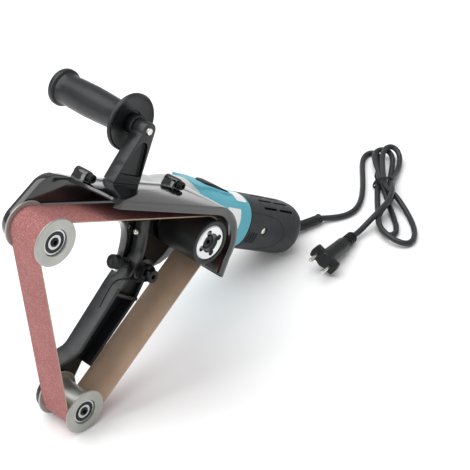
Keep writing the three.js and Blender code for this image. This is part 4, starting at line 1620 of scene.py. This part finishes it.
@dataclass
class TensionArm(Sanding):
    """The cast arm that carries the lower roller, its pivot bolt, springs and tracking screw."""

    near: float = -58.0
    web: tuple[float, float] = (-41.5, -36.0)
    tracking: Point = (-52.0, -46.6)

    def casting(self) -> None:
        """Makes the arm: an open channel of two ribs and a web, with a tongue above and a boss below."""
        near, (web_near, web_far) = self.near, self.web
        left = [(-54.4, -61), (-59, -73), (-70, -109), (-80.6, -143), (-84, -147.5), (-102, -160)]
        tongue = [
            (-57.5, 6.5), (-54.5, -4), (-51, -16), (-47.6, -28), (-46.3, -37), (-49, -45),
            (-53, -56), (-59, -73),
        ]
        strips = {
            "tongue": (ribbon(tongue, 4), near - 2, -43.5),
            "left_rib": (ribbon(left, 4.2), near, web_far),
            "right_rib": (
                ribbon([(-25, -62), (-27, -84), (-41, -121), (-56, -160)], 4),
                near + 3,
                web_far,
            ),
            "cross_rib": (ribbon([(-61, -79), (-44, -81.4), (-27, -83)], 3.6), near, web_far),
            "upper_plate": ([(-50, -50), (-60, -76), (-27, -84), (-25, -56)], -50, -42.5),
            "web": (
                [
                    (-57, -74), (-81.7, -146), (-101, -159), (-98, -186), (-56, -180), (-54, -160),
                    (-27, -84), (-26, -73),
                ],
                web_near,
                web_far + 0.03,
            ),
        }
        body = None
        for name, (shape, low, high) in strips.items():
            piece = Bench.bevel(Bench.slab(name, shape, low, high), 0.7)
            body = piece if body is None else Bench.join(body, piece)
        for radius, low, high, centre in (
            (13, -60, -42.45, PIVOT),
            (21, -42.9, web_far - 0.05, LOWER),
            (12, -42.7, -33, LOWER),
        ):
            Bench.join(body, Bench.bevel(Bench.rod(radius, low, high, Axis.Y, centre, 56), 0.7))
        y, z = self.tracking
        Bench.cut(
            body,
            Bench.rod(25.3, -62, -43, Axis.Y, LOWER, 72),
            Bench.rod(17, -42.3, -30, Axis.Y, PIVOT, 56),
            Bench.rod(4.3, -70, -30, Axis.Y, PIVOT, 32),
            Bench.rod(4.8, -60, -20, Axis.Y, LOWER, 32),
            Bench.rod(2.7, -70, -44.5, Axis.X, (y, z), 24),
            Bench.rod(2.1, -60, -45, Axis.X, (-48, -14), 20),
        )
        body.name = "arm_casting"
        self.stand(body, ARM_ENAMEL, "arm", "black_casting", "tension_arm")

    def screws(self) -> None:
        """Makes the pivot bolt, the tongue's pan screw and the knurled tracking screw."""
        bolt = Bench.bevel(Bench.rod(7, -75, -69.3, Axis.Y, PIVOT, 40), 0.7)
        Bench.join(bolt, Bench.rod(4, -70, -31, Axis.Y, PIVOT, 32))
        Bench.cut(bolt, Bench.rod(2.9, -77, -71, Axis.Y, PIVOT, 6))
        bolt.name = "pivot_cap_screw"
        self.stand(bolt, BLACK_OXIDE, "frame", "black_steel", "pivot_bolt")
        spot = (-48, -14)
        pan = [
            (0, -58), (1.6, -57.9), (2.8, -57.2), (3.4, -56), (3.4, -54.6), (1.8, -54.6),
            (1.8, -46), (0, -46),
        ]
        head = Bench.turned("pan_screw", pan, Axis.X, spot, 32)
        Bench.cut(
            head,
            Bench.block((-59, spot[0] - 2, spot[1] - 0.4), (-56.8, spot[0] + 2, spot[1] + 0.4)),
            Bench.block((-59, spot[0] - 0.4, spot[1] - 2), (-56.8, spot[0] + 0.4, spot[1] + 2)),
        )
        self.stand(head, ZINC_PLATE, "arm", "zinc", "arm_screw")
        y, z = self.tracking
        knob = Bench.bevel(
            Bench.slab("thumbscrew", star(self.tracking, 7.5, 7.0, 28), -79, -70.5, Axis.X),
            0.35,
        )
        Bench.join(knob, Bench.rod(2.3, -72, -46, Axis.X, (y, z), 24))
        Bench.cut(knob, Bench.bevel(Bench.rod(4.6, -82, -78.3, Axis.X, (y, z), 32), 0.3))
        knob.name = "tracking_thumbscrew"
        self.stand(knob, BLACK_OXIDE, "tracker", "black_steel", "tracking_knob")

    def springs(self) -> None:
        """Winds the torsion spring with its long leg, and the tracking screw's spring."""
        wound = coil(PIVOT, 8.5, -67.9, -61.9, 2.75, Axis.Y)
        leg = [
            (-52, -62.4, -60), (-66, -62.2, -60.6), (-73.5, -60.5, -64.5), (-76.2, -58.6, -76),
            (-78.4, -58, -94),
        ]
        spring = Bench.wire("leg_spring", [*wound, *leg], 0.85)
        self.stand(spring, BLACK_OXIDE, "arm", "black_steel", "torsion_spring", smooth=60)
        wound = coil(self.tracking, 4.6, -69.2, -55.2, 3.5, Axis.X)
        spring = Bench.wire("pressure_spring", wound, 0.7)
        self.stand(spring, BLACK_OXIDE, "arm", "steel", "tracking_spring", smooth=60)

    def build(self) -> None:
        """Makes the arm's pieces."""
        self.casting()
        self.screws()
        self.springs()


# ---- gear head and motor --------------------------------------------------------------------------
@dataclass
class Motor(Sanding):
    """The gear head, the teal motor shell with its switch, and the grey rear shell."""

    radius: float = 37.0
    waist: float = 31.5
    cover: float = 145.0
    end: float = 252.0
    power: float = 2.3
    seam: float = 60.0
    lean: float = 0.4
    screw: Point = (174.0, 0.5)

    def squared(self, obj: bpy.types.Object) -> bpy.types.Object:
        """Turns a body that is round about x into a slightly square one.

        Args:
            obj: the round body.

        Returns:
            the same object.
        """
        for vertex in obj.data.vertices:
            _, y, z = vertex.co
            far = math.hypot(y, z)
            if far > 1e-6:
                swell = (abs(y / far) ** self.power + abs(z / far) ** self.power) ** (-1 / self.power)
                vertex.co.y, vertex.co.z = y * swell, z * swell
        return obj

    def surface(self, radius: float, x: float, z: float) -> Point:
        """Returns the point on the near side of a squared body at x and z."""
        return x, -((radius**self.power - abs(z) ** self.power) ** (1 / self.power)), z

    def ahead(self, shift: float) -> bpy.types.Object:
        """Makes a block of all that lies ahead of the slanting seam behind the gear head.

        Args:
            shift: how far the seam is moved back, in millimetres.

        Returns:
            the block.
        """
        reach, seam = 100, self.seam + shift
        low, high = seam + self.lean * reach, seam - self.lean * reach
        outline = [(-120, -reach), (low, -reach), (high, reach), (-120, reach)]
        return Bench.slab("ahead", outline, -reach, reach)

    def shell(self, name: str, swell: float, start: float = 40.0) -> bpy.types.Object:
        """Makes the motor shell's outer shape.

        Args:
            name: the object's name.
            swell: how far it stands outside the real shell, in millimetres.
            start: where it starts along x.

        Returns:
            the shape, solid.
        """
        r, w = self.radius + swell, self.waist + swell
        profile = [
            (0, start), (r, start), (r, 58), (r - 0.1, 66), (r - 0.7, 76), (w + 1.5, 104),
            (w + 0.3, 117),
        ]
        profile += [(w, 124), (w - 0.3, self.cover - 0.8), (w - 1.4, self.cover), (0, self.cover)]
        return self.squared(Bench.turned(name, profile, Axis.X, steps=96))

    def gear_head(self) -> None:
        """Makes the blasted gear housing, its turned collar and the spindle lock button."""
        dome = [
            (0, -24.1), (30, -24.1), (30, 14), (29, 18), (26.5, 22), (20, 25.2), (14, 25.5),
            (0, 25.5),
        ]
        neck = [
            (0, -4), (20, -4), (26, -1), (31, 6), (34, 14), (35.7, 22), (36.7, 30), (37, 38),
            (37, 66), (35.5, 80.2), (0, 80.2),
        ]
        body = Bench.turned("gear_case", dome, Axis.Y, DRUM, 96)
        Bench.join(body, self.squared(Bench.turned("neck", neck, Axis.X, steps=96)))
        for side in (-1, 1):
            for z in (-24, 24):
                boss = Bench.bevel(Bench.rod(4.6, 40, 72, Axis.X, (side * 27.6, z), 28), 0.6)
                Bench.join(body, boss)
        Bench.cut(body, Bench.block((-60, -60, -60), (50, -31.5, 60)))
        Bench.meet(body, self.ahead(0))
        Bench.cut(
            body,
            Bench.rod(29.4, -50, -24.1, Axis.Y, DRUM, 72),
            Bench.rod(26, -30, 10, Axis.Y, DRUM, 56),
            Bench.rod(5.3, 5, 17, Axis.Y, DRUM, 32),
            Bench.rod(9, 10, 60, Axis.X, (0, 0), 32),
            Bench.rod(13.3, 47, 60, Axis.X, (0, 0), 48),
            Bench.rod(29.3, 57, 90, Axis.X, (0, 0), 64),
            Bench.rod(5.3, 14.5, 40, Axis.Y, (-14, 0), 32),
            Bench.rod(2.8, 5, 40, Axis.Y, (-14, 0), 24),
        )
        self.stand(body, BLASTED_ALUMINIUM, "frame", "bare_casting", "gear_housing")
        collar = [
            (9, -43.8), (19, -43.8), (20, -42.8), (20, -33.7), (21, -32.7), (28, -32.7),
            (29, -31.7), (29, -24.4),
        ]
        collar += [(16.3, -24.4), (16.3, -32), (9, -32), (9, -43.8)]
        piece = Bench.turned("bearing_collar", collar, Axis.Y, DRUM, 72)
        self.stand(piece, BLASTED_ALUMINIUM, "frame", "bare_casting", "bearing_cover")
        press = [
            (0, 8), (2.5, 8), (2.5, 18), (5, 18), (5, 28.6), (4.4, 29.3), (3.4, 29.5), (2.6, 29.1),
            (0, 28.9),
        ]
        button = Bench.turned("lock_button", press, Axis.Y, (-14, 0), 40)
        self.stand(button, BLACK_NYLON, "spindle_lock", "black_plastic", "spindle_lock_button")

    def switch(self) -> None:
        """Makes the thumb slider: a wedge with cross ridges and a domed nose."""
        side = [
            (70, 37.1), (70.3, 37.7), (72.4, 38.3), (76, 38.8), (84, 38.5), (100, 35.9),
            (116, 33.0), (118, 32.0),
        ]
        body = Bench.slab("slider", [*side, (84, 35.6)], -9, 9)
        plan = [
            (69.5, -6), (74, -9.2), (113, -9.2), (118.5, -6), (118.5, 6), (113, 9.2), (74, 9.2),
            (69.5, 6),
        ]
        Bench.meet(body, Bench.slab("slider_plan", softened(plan, 1), 0, 60, Axis.Z))
        Bench.bevel(body, 0.45, 2, 40)
        for i in range(5):
            x = 77 + 3.4 * i
            top = 38.95 - 0.16 * max(x - 84, 0)
            Bench.cut(body, Bench.rod(0.75, -5.5, 5.5, Axis.Y, (x, top), 16))
        Bench.join(body, Bench.block((91, -2.6, 29), (95, 2.6, 36.0)))
        body.name = "slide_switch"
        self.stand(body, BLACK_NYLON, "switch", "black_plastic", "switch_slider")

    def motor_shell(self) -> None:
        """Makes the teal shell with a raised bed round the switch and a step before the rear shell."""
        body = self.shell("motor_shell", 0.0)
        side = [
            (42, 20), (42, 37.1), (66, 37.15), (84, 35.3), (104, 33.2), (118, 31.75), (128, 31.2),
            (131, 29), (131, 20),
        ]
        bed = Bench.slab("bed", side, -40, 40)
        plan = [
            (38, -21), (60, -18), (84, -15.5), (112, -13.5), (126, -8), (131, 0), (126, 8),
            (112, 13.5), (84, 15.5),
        ]
        plan += [(60, 18), (38, 21)]
        Bench.meet(bed, Bench.slab("bed_plan", plan, 0, 60, Axis.Z))
        Bench.join(body, Bench.bevel(bed, 0.8, 2, 30))
        Bench.cut(
            body,
            self.ahead(0.3),
            Bench.rod(28.6, 30, 160, Axis.X, (0, 0), 72),
            Bench.rod(29.3, 30, 78, Axis.X, (0, 0), 72),
            Bench.block((86, -3.5, 20), (100, 3.5, 60)),
        )
        body.name = "motor_shell"
        self.stand(body, TEAL_NYLON, "frame", "teal_plastic", "motor_housing")

    def label(self, name: str, replaced: str, low: Point, high: Point, turn: float) -> None:
        """Makes a blank foil label lying on the shell.

        Args:
            name: the object's name.
            replaced: its CAD node.
            low: where it starts, as x and the half width across.
            high: where it ends, as x and how far it stands out.
            turn: how far up from the near side it is, in degrees.
        """
        skin = self.shell(name, high[1])
        Bench.cut(skin, self.shell("inside", 0.2, start=30))
        across, start, end = low[1], low[0], high[0]
        window = Bench.block((start, -60, -across), (end, -20, across), -turn)
        Bench.meet(skin, Bench.bevel(window, 1.5, 3))
        skin.name = name
        self.stand(skin, BLANK_FOIL, "frame", "label", replaced)

    def rear_shell(self) -> None:
        """Makes the rear shell with its vents, ribs, groove and screw recesses, flat where it stands."""
        profile = [
            (0, 145.3), (29.8, 145.3), (31.2, 146.3), (31.4, 170), (31.4, 190), (31.2, 215),
            (31.0, 228),
        ]
        profile += [(30.6, 236), (29.6, 242), (27.4, 247), (24, 250.4), (20, 252), (0, 252)]
        body = self.squared(Bench.turned("rear_shell", profile, Axis.X, steps=96))
        for side in (-1, 1):
            flip = Vector((1, -side, 1))
            for i in range(4):
                heights = [-3 - 2.2 * k for k in range(7)]
                outside = [self.surface(32.3, 0, z)[1:] for z in heights]
                inside = [self.surface(30.2, 0, z)[1:] for z in reversed(heights)]
                outline = [(-side * y, z) for y, z in outside + inside]
                x = 150.5 + 4.2 * i
                Bench.join(body, Bench.bevel(Bench.slab("rib", outline, x - 0.9, x + 0.9, Axis.X), 0.3))
            track = [
                (143, 19), (160, 19), (176, 18.4), (190, 16.5), (202, 12), (209, 5), (211, -3),
                (208, -11),
            ]
            track += [(200, -18), (188, -22.4), (174, -24.4), (160, -25), (143, -25)]
            line = [self.surface(31.4, x, z) for x, z in track]
            Bench.cut(body, Bench.wire("groove", [tuple(Vector(p) * flip) for p in line], 0.7))
        for row, turn in enumerate((-40, -20, 0, 20, 40)):
            for i in range(2):
                start = 166 + 30 * i + 3 * abs(2 - row)
                slot = Bench.block((start, -1.6, 24), (start + 25, 1.6, 50), turn)
                Bench.cut(body, Bench.bevel(slot, 1.0, 2))
        for row, turn in enumerate((-30, -10, 10, 30)):
            slot = Bench.block((186, -1.2, -50), (198, 1.2, -24), turn)
            Bench.cut(body, Bench.bevel(slot, 0.8, 2))
        Bench.cut(
            body,
            Bench.rod(28.2, 130, 196, Axis.X, (0, 0), 64),
            Bench.rod(27, 205, 243, Axis.X, (0, 0), 64),
            Bench.rod(11.3, 190, 220, Axis.X, (0, 0), 48),
            Bench.rod(6.6, 230, 260, Axis.X, (0, 0), 40),
        )
        for side in (-1, 1):
            for radius, low, high in ((4.6, 29.2, 40), (2.3, 20, 40)):
                span = sorted((low * side, high * side))
                Bench.cut(body, Bench.rod(radius, *span, Axis.Y, self.screw, 40))
        floor = Bench.block((-400, -200, -100), (400, 200, 0.02))
        floor.data.transform(
            Matrix.Rotation(-PITCH, 4, "Y") @ Matrix.Translation((0, 0, -SPINDLE.z / MM)),
        )
        Bench.cut(body, floor)
        self.stand(body, GREY_NYLON, "frame", "grey_plastic", "rear_cover")

    def screws(self) -> None:
        """Makes the two cross-head screws that hold the rear shell."""
        x, z = self.screw
        for side, word in ((-1, "near"), (1, "far")):
            shape = [(0, 31), (2.4, 30.9), (3.6, 30.2), (3.6, 29.5), (1.9, 29.5), (1.9, 24), (0, 24)]
            head = Bench.turned(
                "shell_screw_" + word,
                [(r, side * y) for r, y in shape],
                Axis.Y,
                self.screw,
                32,
            )
            low, high = sorted((side * 30.2, side * 33))
            Bench.cut(head, Bench.block((x - 2, low, z - 0.4), (x + 2, high, z + 0.4)))
            Bench.cut(head, Bench.block((x - 0.4, low, z - 2), (x + 0.4, high, z + 2)))
            self.stand(head, ZINC_PLATE, "frame", "zinc", "cover_screw_" + word)

    def build(self) -> None:
        """Makes the gear head and the motor."""
        self.gear_head()
        self.motor_shell()
        self.switch()
        self.label("side_label", "rating_label", (98, 11.5), (124, 0.6), 18)
        self.label("top_label", "blank_label", (121, 9.5), (139.5, 0.6), 72)
        self.rear_shell()
        self.screws()


@dataclass
class Innards:
    """The CAD pieces inside the tool, which keep their shape and get their real surfaces."""

    finishes: dict[str, Finish] = field(
        default_factory=lambda: {
            "spindle": BRIGHT_STEEL,
            "spindle_bearing": BRIGHT_STEEL,
            "ring_gear": BRIGHT_STEEL,
            "pinion": BRIGHT_STEEL,
            "armature_shaft": BRIGHT_STEEL,
            "armature_core": BRIGHT_STEEL,
            "commutator": COPPER_BARS,
            "cooling_fan": BLACK_NYLON,
            "field_core": BRIGHT_STEEL,
            "front_bearing": BRIGHT_STEEL,
            "rear_bearing": BRIGHT_STEEL,
            "carbon_brush_near": BRUSH_CARBON,
            "carbon_brush_far": BRUSH_CARBON,
        }
    )

    def build(self) -> None:
        """Puts a material in each piece's slots."""
        for name, finish in self.finishes.items():
            slots = frame["nodes"][name].material_slots
            for slot in slots:
                slot.material = finish.build()
            log.info("%s: %s", name, finish.name)


# ---- the studio -----------------------------------------------------------------------------------
@dataclass
class Studio:
    """A pale floor, soft lamps and the camera."""

    eye: Point = (-0.8367, -0.9452, 0.9722)
    look: Point = (0.5871, 0.5808, -0.5639)
    lens: float = 109.84

    def camera(self) -> None:
        """Sets the camera up in front of the belt, above and to the left of the machine."""
        bpy.ops.object.camera_add(location=self.eye)
        view = bpy.context.object
        view.rotation_euler = Vector(self.look).to_track_quat("-Z", "Y").to_euler()
        view.data.lens = self.lens
        view.data.sensor_width = 36
        view.data.dof.use_dof = False
        bpy.context.scene.camera = view

    def floor(self) -> None:
        """Lays a large white paper floor."""
        bpy.ops.mesh.primitive_plane_add(size=14, location=(0, 0, -0.0002))
        sheet = bpy.context.object
        sheet.name = "floor"
        sheet.data.materials.append(STUDIO_PAPER.build())

    def lamp(self, name: str, place: Point, size: float, power: float) -> None:
        """Hangs a square soft lamp that faces the object.

        Args:
            name: the lamp's name.
            place: where it hangs, in metres.
            size: its side in metres.
            power: its power in watts.
        """
        bpy.ops.object.light_add(type="AREA", location=place)
        made = bpy.context.object
        made.name = name
        made.data.size = size
        made.data.energy = power
        made.rotation_euler = (Vector((0, 0, 0.12)) - Vector(place)).to_track_quat("-Z", "Y").to_euler()

    def sun(self) -> None:
        """Lights the scene from above through a wide white ceiling."""
        bpy.ops.object.light_add(type="SUN", location=(0, 0, 3))
        made = bpy.context.object
        made.name = "ceiling"
        made.data.energy = 2.6
        made.data.angle = math.radians(70)
        made.rotation_euler = Vector((0.2, -0.25, -1)).to_track_quat("-Z", "Y").to_euler()

    def build(self) -> None:
        """Makes the camera, the floor and the lamps."""
        Bench.clear()
        self.camera()
        self.floor()
        world = bpy.context.scene.world or bpy.data.worlds.new("studio")
        bpy.context.scene.world = world
        world.use_nodes = True
        sky = world.node_tree.nodes["Background"]
        sky.inputs["Color"].default_value = (1.0, 1.0, 1.0, 1.0)
        sky.inputs["Strength"].default_value = 0.5
        bpy.context.scene.view_settings.view_transform = "Standard"
        self.sun()
        self.lamp("left_lamp", (-1.9, 0.6, 1.2), 1.0, 12)


def main() -> None:
    """Builds the studio and every sub-assembly in order."""
    logging.basicConfig(level=logging.INFO, format="%(name)s: %(message)s")
    for part in (
        Studio(),
        Lead(),
        Guard(),
        SideHandle(),
        Wheels(),
        Belt(),
        TensionArm(),
        Motor(),
        Innards(),
    ):
        log.info("building %s", type(part).__name__)
        part.build()
    Bench.clear()


if __name__ == "__main__":
    main()
